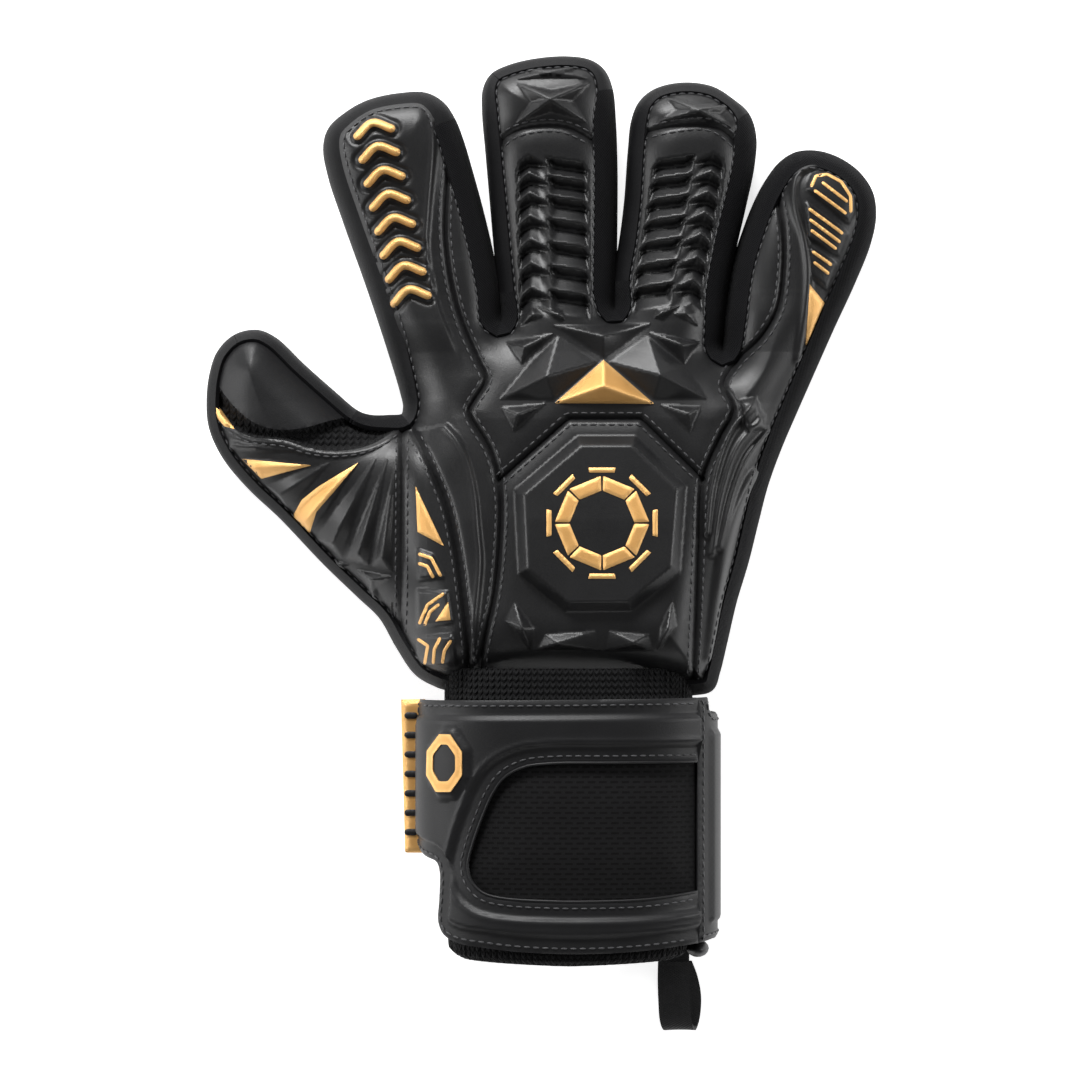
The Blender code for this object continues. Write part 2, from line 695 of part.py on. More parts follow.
def build_pull_loop(glove):
    """The folded webbing: a flat ring that stands on its edge, with its hole along X."""
    x, y, z = LOOP_HINGE
    glove.pivot("pull_loop", "hand", LOOP_HINGE)
    sides = 20
    radius = LOOP_HEIGHT / 2
    straight = LOOP_LENGTH - LOOP_HEIGHT
    form = bmesh.new()
    bmesh.ops.create_cone(form, cap_ends=False, segments=sides, radius1=radius, radius2=radius, depth=LOOP_WIDTH)
    for vertex in form.verts:
        along_y, up, across = vertex.co.x, vertex.co.y, vertex.co.z
        if along_y < -0.01:
            along_y -= straight
        vertex.co = Vector((across, along_y - radius, up)) * MM
    mesh = bpy.data.meshes.new("pull_loop")
    form.to_mesh(mesh)
    form.free()
    piece = glove.add("pull_loop", "pull_loop", "textile", mesh)
    glove.solidify(piece, LOOP_THICK)
    glove.box("loop_anchor", "hand", "textile", (x - 4.8, y + 0.6, z - 1.0), (x + 4.8, y + 7.0, z + 0.6))


def build_glove():
    clear_scene()
    glove = Glove()
    build_hand(glove)
    for name in FINGERS:
        build_finger(glove, name)
    build_thumb(glove)
    build_wristband(glove)
    build_strap(glove)
    build_pull_loop(glove)


build_glove()
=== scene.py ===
import math

import bpy
import numpy as np
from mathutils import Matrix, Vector
from mathutils.geometry import delaunay_2d_cdt
from mathutils.kdtree import KDTree


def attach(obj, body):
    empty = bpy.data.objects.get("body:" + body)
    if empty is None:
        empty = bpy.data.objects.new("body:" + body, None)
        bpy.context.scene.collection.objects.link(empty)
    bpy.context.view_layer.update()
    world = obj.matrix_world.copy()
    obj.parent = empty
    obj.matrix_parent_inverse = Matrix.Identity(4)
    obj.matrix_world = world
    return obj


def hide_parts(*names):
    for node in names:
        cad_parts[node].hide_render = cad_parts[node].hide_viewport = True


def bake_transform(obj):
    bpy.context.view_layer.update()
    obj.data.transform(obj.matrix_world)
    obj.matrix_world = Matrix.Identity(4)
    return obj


# The looks of a goalkeeper glove for the right hand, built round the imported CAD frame.
# Every length below is in millimetres in the frame's own axes: +X runs across the hand to the little
# finger, +Y from the wrist to the fingertips and +Z out of the back of the hand. build() turns the
# finished points into metres.

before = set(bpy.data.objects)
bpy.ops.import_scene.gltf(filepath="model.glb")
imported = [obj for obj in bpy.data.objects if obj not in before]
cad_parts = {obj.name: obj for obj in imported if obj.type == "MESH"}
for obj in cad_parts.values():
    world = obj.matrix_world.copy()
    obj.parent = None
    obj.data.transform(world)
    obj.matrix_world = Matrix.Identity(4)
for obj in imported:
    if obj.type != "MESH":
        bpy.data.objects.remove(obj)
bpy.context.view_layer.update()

MM = 0.001
CLOTH = "cloth"          # the attribute that weaves and grains are laid out on, in millimetres
SPACING = 0.62           # of the points on the back of the hand
PALM_SPACING = 1.5
TUCK = 1.8               # the side wall runs this far in under the padded back
SOLE = 6.0               # the side wall ends this far in on the palm
EQUATOR = 13.0           # height of the widest line of the hand
PANEL_LIFT = 0.9         # how proud the padded back stands of the hand's plain shape
PANEL_THICK = 1.6
CREASE_ANGLE = 24.0      # degrees: a sharper bend than this in the padding is a crisp crease
LATEX_THICK = 1.4

HAND_HEIGHT = ((-60, 48.5), (-49, 48.0), (-30, 46.0), (0, 42.5), (30, 37.5), (50, 32.5), (67, 30.0),
               (90, 28.0), (115, 26.5), (140, 25.0))
ROUNDING = ((-60, 24.0), (35, 22.0), (62, 15.0), (140, 14.5))
THUMB_HEIGHT = (36.5, 0.15)      # at the fold, and what it loses with each millimetre outwards

# ---------------------------------------------------------------- outline of the back of the hand

OUTLINE = (
    (-41.6, -48.9), (-47.2, -45.6), (-52.6, -37.8), (-57.8, -28.8), (-64.6, -22.2), (-74.6, -12.6),
    (-88, 1.5), (-97.5, 10.4), (-105, 19.5), (-108.9, 28), (-109.6, 36), (-108.7, 44), (-106.6, 50),
    (-102, 54.6),
    (-96, 56), (-91, 54), (-82.5, 46), (-73.5, 38), (-66, 31.8), (-62, 30.4), (-56, 30.3), (-51.4, 30.9),
    (-50.4, 34), (-51.4, 39), (-55.5, 52.5), (-61.5, 70.5), (-69, 91.5), (-73, 103.5), (-74.5, 112),
    (-73.2, 117.2), (-68.5, 121.6), (-62, 125.2), (-52.5, 127.3), (-45, 127.4), (-40.5, 124.9),
    (-37.3, 120.3), (-34.8, 114), (-32, 104.5), (-29, 93.5), (-25.8, 80), (-23.6, 68), (-23.0, 60.5),
    (-22.2, 58.8), (-21.4, 60.5), (-21.8, 68), (-22.9, 80), (-24.2, 95), (-25.6, 111), (-26.6, 123),
    (-26.4, 129.5), (-24.4, 133.3), (-20, 135.6), (-12, 137.6), (-2, 138.3), (4.5, 137.2), (8, 134.6),
    (10.1, 129.5), (11, 120), (11.5, 105), (11.4, 85), (11.2, 68), (11.2, 64.2), (11.8, 62.6), (12.4, 64.2),
    (12.6, 72), (14.7, 84), (16.2, 96), (17.3, 111), (18.3, 120), (20.4, 125.2), (24.5, 128.6),
    (32.5, 130.4), (41, 129.3), (47, 125.6), (51.4, 121.6), (53.3, 115.5), (52.8, 107), (50.2, 94.5),
    (47.1, 81), (44.9, 68), (43.6, 56), (43.3, 52), (44.2, 50.4), (45.1, 52), (45.9, 60), (48.2, 75),
    (51.9, 87), (55.5, 96), (58.8, 102), (62.5, 106.8), (67, 109.6), (73, 109.9), (79.5, 107.7),
    (85, 103.6), (88.6, 98), (89.4, 91.5), (87.8, 83.5), (83, 71.5), (77, 58.5), (71, 45), (65.5, 32.5),
    (61.2, 22.5), (57, 11), (54, -0.5), (51, -12.5), (47.4, -24.5), (44.6, -36.5), (42.4, -45.5),
    (40.6, -50.2), (36, -51.4), (20, -51), (0, -50.6), (-25, -50.2), (-38.5, -49.9),
)

# Where the padded back stops short of the outline: a point on the outline, the gap there, how proud the
# padding stands, and what the side wall adjoins from there to the next point. Next to textile it is
# textile, and otherwise the wall finish: latex, duller and painted darker than the palm's, painted shade.
RIM = (
    ((-41.6, -48.9), 1.6, 0.6, "foam"), ((-64.6, -22.2), 1.1, 0.3, "foam"), ((-108.9, 28), 1.1, 0.2, "foam"),
    ((-102, 54.6), 1.1, 0.0, "latex"), ((-66, 31.8), 1.2, 0.0, "textile"), ((-51.4, 30.9), 2.4, 0.6, "latex"),
    ((-55.5, 52.5), 4.0, 0.9, "latex"), ((-74.5, 112), 4.0, 0.9, "latex"), ((-62, 125.2), 2.4, 0.7, "latex"),
    ((-45, 127.4), 2.8, 0.8, "latex"), ((-37.3, 120.3), 4.8, 0.9, "textile"),
    ((-23.0, 60.5), 4.4, 0.9, "textile"), ((-22.2, 58.8), 3.4, 0.9, "textile"),
    ((-21.8, 68), 2.6, 0.8, "latex"), ((-26.6, 123), 2.2, 0.8, "latex"),
    ((-24.4, 133.3), 1.2, 0.5, "foam"), ((4.5, 137.2), 1.2, 0.5, "foam"),
    ((10.1, 129.5), 2.4, 0.7, "textile"), ((11, 120), 4.4, 0.9, "textile"),
    ((11.2, 68), 4.6, 0.9, "textile"), ((11.8, 62.6), 3.4, 0.9, "textile"), ((12.6, 72), 2.6, 0.8, "latex"),
    ((18.3, 120), 2.2, 0.8, "latex"), ((24.5, 128.6), 1.2, 0.5, "foam"), ((47, 125.6), 1.2, 0.5, "foam"),
    ((51.4, 121.6), 2.4, 0.7, "textile"), ((53.3, 115.5), 4.2, 0.9, "textile"),
    ((44.9, 68), 4.6, 0.9, "textile"), ((44.2, 50.4), 3.4, 0.9, "textile"), ((45.9, 60), 4.0, 0.9, "textile"),
    ((62.5, 106.8), 3.4, 0.8, "textile"), ((88.6, 98), 3.6, 0.9, "textile"),
    ((61.2, 22.5), 3.4, 0.9, "textile"), ((42.4, -45.5), 2.2, 0.8, "textile"), ((0, -50.6), 2.0, 0.8, "foam"),
)

# Seams that part the back into panels, each from its low end to its high one.
GOLD_LEFT_SEAM = ((-52.5, -46), (-52.6, -39), (-51.8, -24), (-51.6, 5), (-51.6, 27))
GOLD_RIGHT_SEAM = ((-31.6, -51), (-31.8, -38), (-33.2, -24), (-35.1, -10), (-38.2, 4), (-43.4, 16.5),
                   (-48.6, 26.5))
INDEX_SEAM = ((-28.8, -51), (-27.4, -38), (-24, -22), (-22.3, -6), (-22.2, 8), (-25, 20), (-31.6, 32.3),
              (-30.4, 35), (-26.6, 42), (-28.6, 47), (-34, 59.5), (-37.2, 72), (-38.8, 85), (-38.6, 96),
              (-37.6, 106), (-38, 116), (-42, 125))
LITTLE_SEAM = ((34.6, -51), (35.6, -30), (36.6, -6), (37.8, 12), (43, 24.5), (47.2, 33), (44.3, 40.2),
               (48.5, 47.5), (55.5, 54.5), (60.3, 63), (62.1, 74), (62.2, 86), (60.6, 96), (60.2, 101),
               (61.5, 106))
OCTAGON_SEAM = ((-22.3, 12), (-2.1, 30), (19.5, 30), (37.8, 12))
MIDDLE_TIP_SEAM = ((-23.8, 111.5), (-19.5, 115.3), (-12, 117.6), (-3, 117.4), (6, 113.2))
RING_TIP_SEAM = ((19, 115.4), (28, 117.4), (38, 118.4), (42.6, 117.2), (49, 112.2))
THUMB_HEM = ((-109.5, 37.5), (-105.5, 30.5), (-98, 25.2), (-86.5, 23.6), (-80, 21.6), (-72, 20.5),
             (-62, 22), (-55, 26), (-51.4, 30.4))
THUMB_EDGE = ((-108.6, 43.5), (-106, 39), (-101, 33), (-95, 28.6), (-88, 26.9), (-81, 27.4), (-74, 29.4),
              (-66, 31.6))

# ------------------------------------------------------------------------- bodies and their joints

FINGERS = ("index", "middle", "ring", "little")
FINGER_GAPS = (                    # the middle of each gap between two fingers: y and x, from the crotch up
    ((58.8, -22.2), (68, -22.7), (80, -24.4), (95, -26.8), (111, -29.8), (123, -32.0)),
    ((62.6, 11.8), (72, 11.9), (84, 13.0), (96, 13.8), (111, 14.4)),
    ((50.4, 44.2), (59, 44.9), (68, 46.0), (81, 48.6), (94.5, 52.5), (107, 57.7)),
)
BASE_Y = {"index": 59.0, "middle": 59.0, "ring": 59.0, "little": 50.0}
TIP_Y = {"index": 78.0, "middle": 79.5, "ring": 78.0, "little": 68.0}
KNUCKLE_ZONE = {"index": (59, 75), "middle": (60, 76), "ring": (59, 75), "little": (50, 66)}
MIDDLE_ZONE = {"index": (81, 101), "middle": (84, 104), "ring": (81, 101), "little": (70, 88)}
WEB_X, WEB_Y = -57.0, 30.6         # the web between the thumb and the index finger
FOLD_ZONE_X = (-44.0, -64.0)       # the thumb's fold lies from here to there
THUMB_SPLIT = ((-65.5, 34.0), (-74.0, -18.0))
LEFT_X, RIGHT_X = -76.0, 90.0      # beyond the index and the little finger
THUMB_TOP_Y = 58                   # nothing of the thumb is above this


def bind(piece, part):
    """Attaches a piece to the body of its part of the glove; a piece of a finger or of the thumb is only
    baked in place.
    """
    name, _, half = part.partition("_")
    if name in FINGERS:
        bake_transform(piece)
    elif part == "thumb_root":
        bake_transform(piece)
    elif part == "thumb_end":
        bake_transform(piece)
    else:
        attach(piece, part)


def finger_number(points):
    """Which finger each (x, y) is nearest to: 0 for the index finger, up to 3 for the little one."""
    return sum((points[:, 0] > table(gap, points[:, 1])).astype(int) for gap in FINGER_GAPS)


def part_at(points):
    """Which part of the glove each (x, y) belongs to."""
    x, y = points[:, 0], points[:, 1]
    parts = np.full(len(points), "hand", dtype=object)
    thumb = (x < FOLD_ZONE_X[0]) & (y < WEB_Y + np.maximum(WEB_X - x, 0))
    (ax, ay), (bx, by) = THUMB_SPLIT
    beyond = x < ax + (y - ay) * (bx - ax) / (by - ay)
    parts[thumb] = "thumb_root"
    parts[beyond & (y < THUMB_TOP_Y)] = "thumb_end"
    finger_of = finger_number(points)
    for number, name in enumerate(FINGERS):
        mine = (finger_of == number) & (y > BASE_Y[name]) & (x > LEFT_X)
        parts[mine] = name + "_base"
        parts[mine & (y > TIP_Y[name])] = name + "_tip"
    return parts


# ------------------------------------------------------------------------------- curves in the plane

def resample(points, step):
    """The same line with evenly spaced points."""
    points = np.asarray(points, float)
    lengths = np.hypot(*np.diff(points, axis=0).T)
    along = np.concatenate([[0], np.cumsum(lengths)])
    count = max(2, int(round(along[-1] / step)) + 1)
    even = np.linspace(0, along[-1], count)
    return np.stack([np.interp(even, along, points[:, k]) for k in range(points.shape[1])], axis=1)


def curve(points, step=0.6, closed=False):
    """A smooth line through the points, with evenly spaced points of its own."""
    points = np.asarray(points, float)
    if closed:
        points = np.vstack([points[-1:], points, points[:2]])
    knots = np.concatenate([[0], np.cumsum(np.sqrt(np.hypot(*np.diff(points, axis=0).T)))])
    slopes = np.diff(points, axis=0) / np.diff(knots)[:, None]
    inner = (slopes[:-1] * np.diff(knots)[1:, None] + slopes[1:] * np.diff(knots)[:-1, None])
    inner = inner / (knots[2:] - knots[:-2])[:, None]
    tangents = np.vstack([slopes[:1], inner, slopes[-1:]])
    dense = []
    first, last = (1, len(points) - 2) if closed else (0, len(points) - 1)
    for k in range(first, last):
        gap = knots[k + 1] - knots[k]
        t = np.linspace(0, 1, 24, endpoint=False)[:, None]
        dense.append((2 * t ** 3 - 3 * t ** 2 + 1) * points[k] + (t ** 3 - 2 * t ** 2 + t) * gap * tangents[k]
                     + (3 * t ** 2 - 2 * t ** 3) * points[k + 1] + (t ** 3 - t ** 2) * gap * tangents[k + 1])
    dense.append(points[last][None])
    return resample(np.vstack(dense), step)


def normals_of(line, closed):
    """Unit vectors to the right of the way the line runs."""
    if closed:
        ahead, behind = np.roll(line, -1, axis=0), np.roll(line, 1, axis=0)
        run = ahead - behind
    else:
        run = np.gradient(line, axis=0)
    run = run / np.maximum(np.hypot(run[:, 0], run[:, 1]), 1e-9)[:, None]
    return np.stack([run[:, 1], -run[:, 0]], axis=1)


def beside(line, distance):
    """The line moved to its right."""
    return line + normals_of(line, False) * distance


def nearest(points, line):
    """For each (x, y), the number of the line's nearest own point and the distance to it."""
    tree = KDTree(len(line))
    for number, (x, y) in enumerate(line):
        tree.insert((x, y, 0), number)
    tree.balance()
    found = [tree.find((x, y, 0)) for x, y in points]
    return np.array([number for _, number, _ in found]), np.array([far for _, _, far in found])


def distance_to(points, line):
    """How far each (x, y) is from a line."""
    return nearest(points, resample(line, 0.3))[1]


def inside(points, polygon):
    """Whether each (x, y) is inside a closed outline."""
    x, y = points[:, 0], points[:, 1]
    found = np.zeros(len(points), bool)
    following = np.roll(polygon, -1, axis=0)
    for (ax, ay), (bx, by) in zip(polygon, following):
        if ay == by:
            continue
        crosses = ((ay > y) != (by > y)) & (x < (bx - ax) * (y - ay) / (by - ay) + ax)
        found ^= crosses
    return found


def split_jumps(line):
    """Parts a line wherever its points are far apart."""
    steps = np.hypot(*np.diff(line, axis=0).T)
    cuts = np.flatnonzero(steps > 4) + 1
    return [run for run in np.split(line, cuts) if len(run) > 4]


def closed(line):
    """The line with its first point repeated at its end."""
    return np.vstack([line, line[:1]])


def signed_area(line):
    """Twice the area inside a closed line: positive where it runs to the left round it."""
    return np.sum(line[:, 0] * np.roll(line[:, 1], -1) - np.roll(line[:, 0], -1) * line[:, 1])


def smooth(t):
    """0 to 1 with a soft start and end."""
    t = np.clip(t, 0, 1)
    return t * t * (3 - 2 * t)


def table(pairs, value):
    """Reads a curve given as (place, height) pairs."""
    places, heights = zip(*pairs)
    return np.interp(value, places, heights)


outline = curve(OUTLINE, 0.8, closed=True)[:-1]
closed_outline = closed(outline)
inward = normals_of(outline, True)
for _ in range(3):
    inward = (np.roll(inward, 1, axis=0) + 2 * inward + np.roll(inward, -1, axis=0)) / 4
inward = inward / np.hypot(inward[:, 0], inward[:, 1])[:, None]
rim_starts = [int(np.argmin(np.hypot(*(outline - place).T))) for place, *_ in RIM]
rim_starts[0] = 0
rim_gap, rim_lift = (np.interp(np.arange(len(outline)), rim_starts + [len(outline)],
                               [row[k] for row in RIM] + [RIM[0][k]]) for k in (1, 2))
rim_finish = [RIM[row - 1][3] for row in np.searchsorted(rim_starts, range(len(outline)), side="right")]
rim_line = outline + inward * rim_gap[:, None]
closed_rim = closed(rim_line)
seams = {name: curve(points) for name, points in (
    ("gold_left", GOLD_LEFT_SEAM), ("gold_right", GOLD_RIGHT_SEAM), ("index", INDEX_SEAM),
    ("little", LITTLE_SEAM), ("middle_tip", MIDDLE_TIP_SEAM), ("ring_tip", RING_TIP_SEAM),
    ("thumb_hem", THUMB_HEM), ("thumb_edge", THUMB_EDGE))}
seams["octagon"] = resample(OCTAGON_SEAM, 0.6)

# -------------------------------------------------------------------------------- height of the back

# Moulded facets: an outline, the place of its peak, and its height.
KNUCKLE_FACETS = (
    (((-6.6, 58.0), (22.5, 58.4), (8.4, 48.2)), (8.2, 54.6), 3.8),
    (((-20.7, 52.8), (-6.6, 55.5), (-15.9, 46.2)), (-15.0, 51.4), 3.2),
    (((21.9, 55.8), (37.2, 53.1), (32.4, 46.2)), (31.7, 52.0), 3.4),
    (((-5.1, 54.9), (6.6, 46.9), (-6.4, 35.6), (-22.5, 35.7), (-12.6, 47.6)), (-8.6, 42.4), 5.2),
    (((21.4, 54.9), (32.4, 45.8), (39, 36), (23.4, 35.8), (10.2, 46.9)), (25.2, 42.8), 5.2),
    (((8.4, 47.6), (23.4, 34.4), (-6.2, 34.6)), (8.4, 39.6), 5.2),
    (((-21.9, 33.3), (-9, 34.5), (-18.3, 26.1)), (-17.0, 31.2), 3.2),
    (((25.2, 34.2), (37.2, 33.6), (33.9, 25.8)), (33.4, 31.4), 3.2),
)
GOLD_FACET = 5                     # the facet above that is covered with gold
LOWER_FACETS = (
    (((-18, -24.3), (-12, -32.2), (-13.2, -38.6), (-20.7, -30)), (-15.6, -32.2), 3.6),
    (((-12.2, -38.8), (-9, -33.8), (6, -32.8), (7.4, -38.8)), (-5.4, -36.4), 3.2),
    (((8.4, -38.8), (9.8, -32.8), (21.8, -33.8), (23.4, -38.8)), (17.4, -36.4), 3.2),
    (((28.5, -24), (29.6, -31.6), (24.2, -38.6), (25, -32)), (27.2, -32.2), 3.6),
)
TIP_STARS = (
    (((-17.6, 130.6), (4.4, 130.8), (3.4, 118.8), (-17.6, 118.4)), (-7.4, 125.4), 4.2),
    (((-19.4, 136.0), (2.6, 136.4), (3.8, 132.0), (-17.6, 131.8)), (-7.6, 133.8), 2.4),
    (((26.4, 127.0), (47.6, 124.4), (47.0, 117.4), (25.2, 119.2)), (37.2, 122.2), 3.8),
)
STAR_WAIST = 0.42                  # how far the sides of a star are drawn in towards its peak
THUMB_FACETS = (
    (((-76.5, -9.8), (-67.5, -13.4), (-70.2, -20.0)), (-70.6, -13.6), 2.2),
    (((-65.6, -14.6), (-54.6, -17), (-61.6, -22.4)), (-60.6, -17.6), 3.0),
    (((-64.0, -24.8), (-60.4, -18), (-55.6, -29)), (-60.4, -23.8), 2.2),
    (((-56.8, -33.6), (-54.8, -24.4), (-53.6, -36.8)), (-55.0, -31.0), 1.8),
)
FAN_BLADES = (
    (((-80.5, 20.4), (-103.4, 24.4), (-106.4, 20.6)), (-102.4, 22.2), 1.5),
    (((-78.6, 16.4), (-100.4, 18.8), (-94.0, 12.0)), (-96.2, 15.6), 1.8),
    (((-73.0, 17.0), (-93.0, 10.6), (-86.0, 2.8)), (-88.2, 7.4), 2.4),
    (((-64.3, 17.3), (-85.2, 0.8), (-79.4, -4.6)), (-80.4, -0.4), 2.4),
    (((-59.2, 18.6), (-78.4, -5.8), (-69.8, -11.4)), (-72.4, -7.0), 2.8),
    (((-55.8, 18.4), (-68.4, -11.6), (-61.6, -13.4)), (-64.4, -10.2), 2.6),
    (((-53.4, 17.0), (-60.4, -13.8), (-54.4, -15.4)), (-57.2, -11.2), 2.4),
)
OCTAGON = ((0.6, 24.9), (18, 24.9), (33, 10.2), (30.9, -15.6), (16.5, -27.3), (-3.3, -27.6),
           (-17.1, -16.2), (-18.3, 8.7))
OCTAGON_HEIGHT = 4.2
OCTAGON_BEVEL = 3.4
OCTAGON_CENTRE = (7.8, -1.0)

MIDDLE_PEAKS = ((-12.6, 110.2), (-12.4, 104.6), (-12.3, 98.6), (-12.2, 91.8), (-12, 84.8), (-11.8, 77.7),
                (-11.7, 70.4))
RING_PEAKS = ((39.9, 111), (39, 105.2), (38.1, 99), (37.1, 92.7), (35.9, 86.2), (34.6, 79.5), (33.3, 72.6))
SHORT_LOUVRES = (
    (((-16.6, 57.6), (-15.6, 61.6), (-12.6, 63.2), (-9.4, 60.8)), (-12.8, 61.0), 1.6),
    (((-11.4, 63.4), (-4, 62.4), (-3, 59.4)), (-5.0, 60.8), 1.6),
    (((36.8, 57.6), (35.8, 61.8), (32.6, 63.6), (29.4, 61.2)), (32.8, 61.4), 1.6),
    (((31.2, 63.8), (24.4, 62.8), (23.6, 60)), (25.6, 61.2), 1.6),
)
FACETS = KNUCKLE_FACETS + LOWER_FACETS + THUMB_FACETS + FAN_BLADES + SHORT_LOUVRES
# One louvre, from its peak: the edge of each wing and the foot of the dark face under that edge.
LOUVRE_SHORT_EDGE = ((-4.9, -6.5), (-4.0, -3.0), (-1.4, -0.9), (4.8, -4.4))
LOUVRE_SHORT_FOOT = ((-4.9, -6.6), (-4.0, -5.9), (-1.0, -4.2), (4.8, -4.5))
LOUVRE_LONG_EDGE = ((3.9, -1.6), (15.0, -3.1), (16.2, -6.0))
LOUVRE_LONG_FOOT = ((3.9, -1.7), (6.5, -4.8), (16.2, -6.1))
LOUVRE_DEPTH = 3.2

INDEX_CREASE = ((-41.2, 118), (-41.1, 111), (-42.6, 92), (-43.1, 81), (-41.8, 72), (-39.6, 63), (-36, 54),
                (-31.6, 42.4))
INDEX_LOW_CREASE = ((-37.5, 28.5), (-34, 24.5), (-31.2, 18.5), (-28.8, 9), (-27.6, -3), (-26.9, -12),
                    (-28, -26), (-29.6, -40))
INDEX_PAD_BACK = ((-56, 42), (-90, 100), (-60, 150), (-43, 128))
LITTLE_RIDGE = ((66.5, 48), (68.6, 62), (69.4, 74), (68.2, 84), (66, 92), (65.3, 99), (66.6, 103.4),
                (70.5, 105.9), (76, 106), (81.5, 103), (85.4, 97.6), (86.1, 92), (84.4, 84), (80, 72),
                (74.6, 60), (71.5, 52))
LITTLE_BLOCKS = (
    ((68.6, 98.8), (70.4, 103.6), (75, 104.6), (80.6, 101.8), (84, 96.8), (83.8, 91.6), (81.8, 88.2)),
    ((68.6, 95.2), (81.4, 85.6), (78.8, 78.8), (69.4, 84.2)),
    ((69.8, 82), (78, 76.6), (75.2, 68.6), (70.6, 72.4)),
)
TRIM_BLOCKS = (
    ((-47.0, -8.2), (-42.2, -10.0), (-38.4, -17.2), (-46.8, -18.2)),
    ((-47.2, -20.6), (-37.6, -21.0), (-36.2, -30.4), (-47.2, -32.0)),
    ((-47.6, -34.4), (-36.0, -34.0), (-35.0, -43.0), (-47.8, -43.6)),
)
BOLSTER = ((58.2, 16.5), (53.2, 12), (48.6, 4), (45, -8), (42.4, -24), (40.6, -41))
FLOW_RIBS = (
    ((55.5, 30), (48.6, 22), (43.6, 8), (40.6, -10)),
    ((57.5, 26.5), (51.2, 18.5), (46.2, 6), (42.6, -8)),
    ((52.2, 33.5), (46.2, 26.5), (41, 12), (38.9, -4)),
)
LITTLE_LEAF = ((48.6, 35.6), (53.6, 36.8), (56.8, 27), (50.6, 26))

CHEVRON_START, CHEVRON_END = (-60.6, 118.6), (-49.6, 68.6)
CHEVRON_COUNT = 8
CHEVRON_HALF = 5.2
CHEVRON_TRAIL = 3.0
CHEVRON_WIDTH = 2.5


def finger_chevrons():
    """Centre lines of the plain gold chevrons along the index finger."""
    start, end = np.array(CHEVRON_START), np.array(CHEVRON_END)
    down = (end - start) / np.hypot(*(end - start))
    across = np.array([-down[1], down[0]])
    lines = []
    for share in np.linspace(0, 1, CHEVRON_COUNT):
        tip = start + (end - start) * share
        arms = [tip + down * CHEVRON_TRAIL - across * CHEVRON_HALF, tip,
                tip + down * CHEVRON_TRAIL + across * CHEVRON_HALF]
        lines.append(curve(arms, 0.5))
    return lines


def gauge(points, polygon, peak):
    """0 at the peak and 1 on the outline of a convex shape, rising straight in between."""
    polygon = np.asarray(polygon, float)
    offset = points - np.asarray(peak, float)
    largest = np.full(len(points), -1e9)
    for a, b in zip(polygon, np.roll(polygon, -1, axis=0)):
        across = np.array([b[1] - a[1], a[0] - b[0]])
        reach = across @ (a - np.asarray(peak, float))
        largest = np.maximum(largest, (offset @ across) / reach)
    return largest


def facet(points, polygon, peak, height):
    """A pyramid with its peak anywhere over a convex outline."""
    return height * np.clip(1 - gauge(points, polygon, peak), 0, 1)


def plateau(points, polygon, peak, height, bevel):
    """A flat-topped block whose sides are this wide."""
    reach = min(np.hypot(*(np.asarray(corner) - np.asarray(peak))) for corner in polygon)
    return height * np.clip((1 - gauge(points, polygon, peak)) * reach / bevel, 0, 1)


def star(points, corners, peak, height):
    """A peak with ridges out to its corners and valleys drawn in between them."""
    raised = np.zeros(len(points))
    offset = points - np.asarray(peak, float)
    for corner, valley in star_sides(corners, peak):
        first, second = corner - peak, valley - peak
        span = first[0] * second[1] - first[1] * second[0]
        u = (offset[:, 0] * second[1] - offset[:, 1] * second[0]) / span
        v = (first[0] * offset[:, 1] - first[1] * offset[:, 0]) / span
        raised = np.where((u >= 0) & (v >= 0) & (u + v <= 1), height * (1 - u - v), raised)
    return raised


def star_sides(corners, peak):
    """Each half side of a star, as its corner and the valley next to it."""
    corners, peak = np.asarray(corners, float), np.asarray(peak, float)
    sides = []
    for a, b in zip(corners, np.roll(corners, -1, axis=0)):
        valley = (a + b) / 2 + (peak - (a + b) / 2) * STAR_WAIST
        sides += [(a, valley), (b, valley)]
    return sides


def louvre_edges(peak, side):
    """The edge and the foot of both wings of a louvre, in place."""
    return [[(peak[0] + side * x, peak[1] + y) for x, y in edge]
            for edge in (LOUVRE_SHORT_EDGE, LOUVRE_SHORT_FOOT, LOUVRE_LONG_EDGE, LOUVRE_LONG_FOOT)]


def wing_depth(across, y, peaks_y, edge, foot):
    """How deep a row of wings cuts in: steeply down under each edge, and gently back up below it."""
    edge_shape = np.interp(across, *zip(*edge))
    foot_shape = np.interp(across, *zip(*foot))
    depth = np.zeros(len(y))
    for number, peak_y in enumerate(peaks_y):
        following = peaks_y[number + 1] if number + 1 < len(peaks_y) else peak_y - 7
        edge_y, foot_y = peak_y + edge_shape, peak_y + foot_shape
        next_y = following + edge_shape
        fall = (edge_y - y) / np.maximum(edge_y - foot_y, 0.15)
        rise = (y - next_y) / np.maximum(foot_y - next_y, 0.15)
        mine = (y < edge_y) & (y > next_y)
        depth = np.where(mine, np.clip(np.minimum(fall, rise), 0, 1), depth)
    share = np.clip((edge_shape - foot_shape) / 1.8, 0, 1)
    within = (across > edge[0][0]) & (across < edge[-1][0])
    return depth * share * within


def louvres(points, peaks, side):
    """How deep the louvres of one finger are cut into its padding."""
    peaks = np.array(peaks)
    centre = np.interp(points[:, 1], peaks[::-1, 1] - 4, peaks[::-1, 0])
    across = side * (points[:, 0] - centre)
    short = wing_depth(across, points[:, 1], peaks[:, 1], LOUVRE_SHORT_EDGE, LOUVRE_SHORT_FOOT)
    long = wing_depth(across, points[:, 1], peaks[:, 1], LOUVRE_LONG_EDGE, LOUVRE_LONG_FOOT)
    return LOUVRE_DEPTH * np.maximum(short, long)


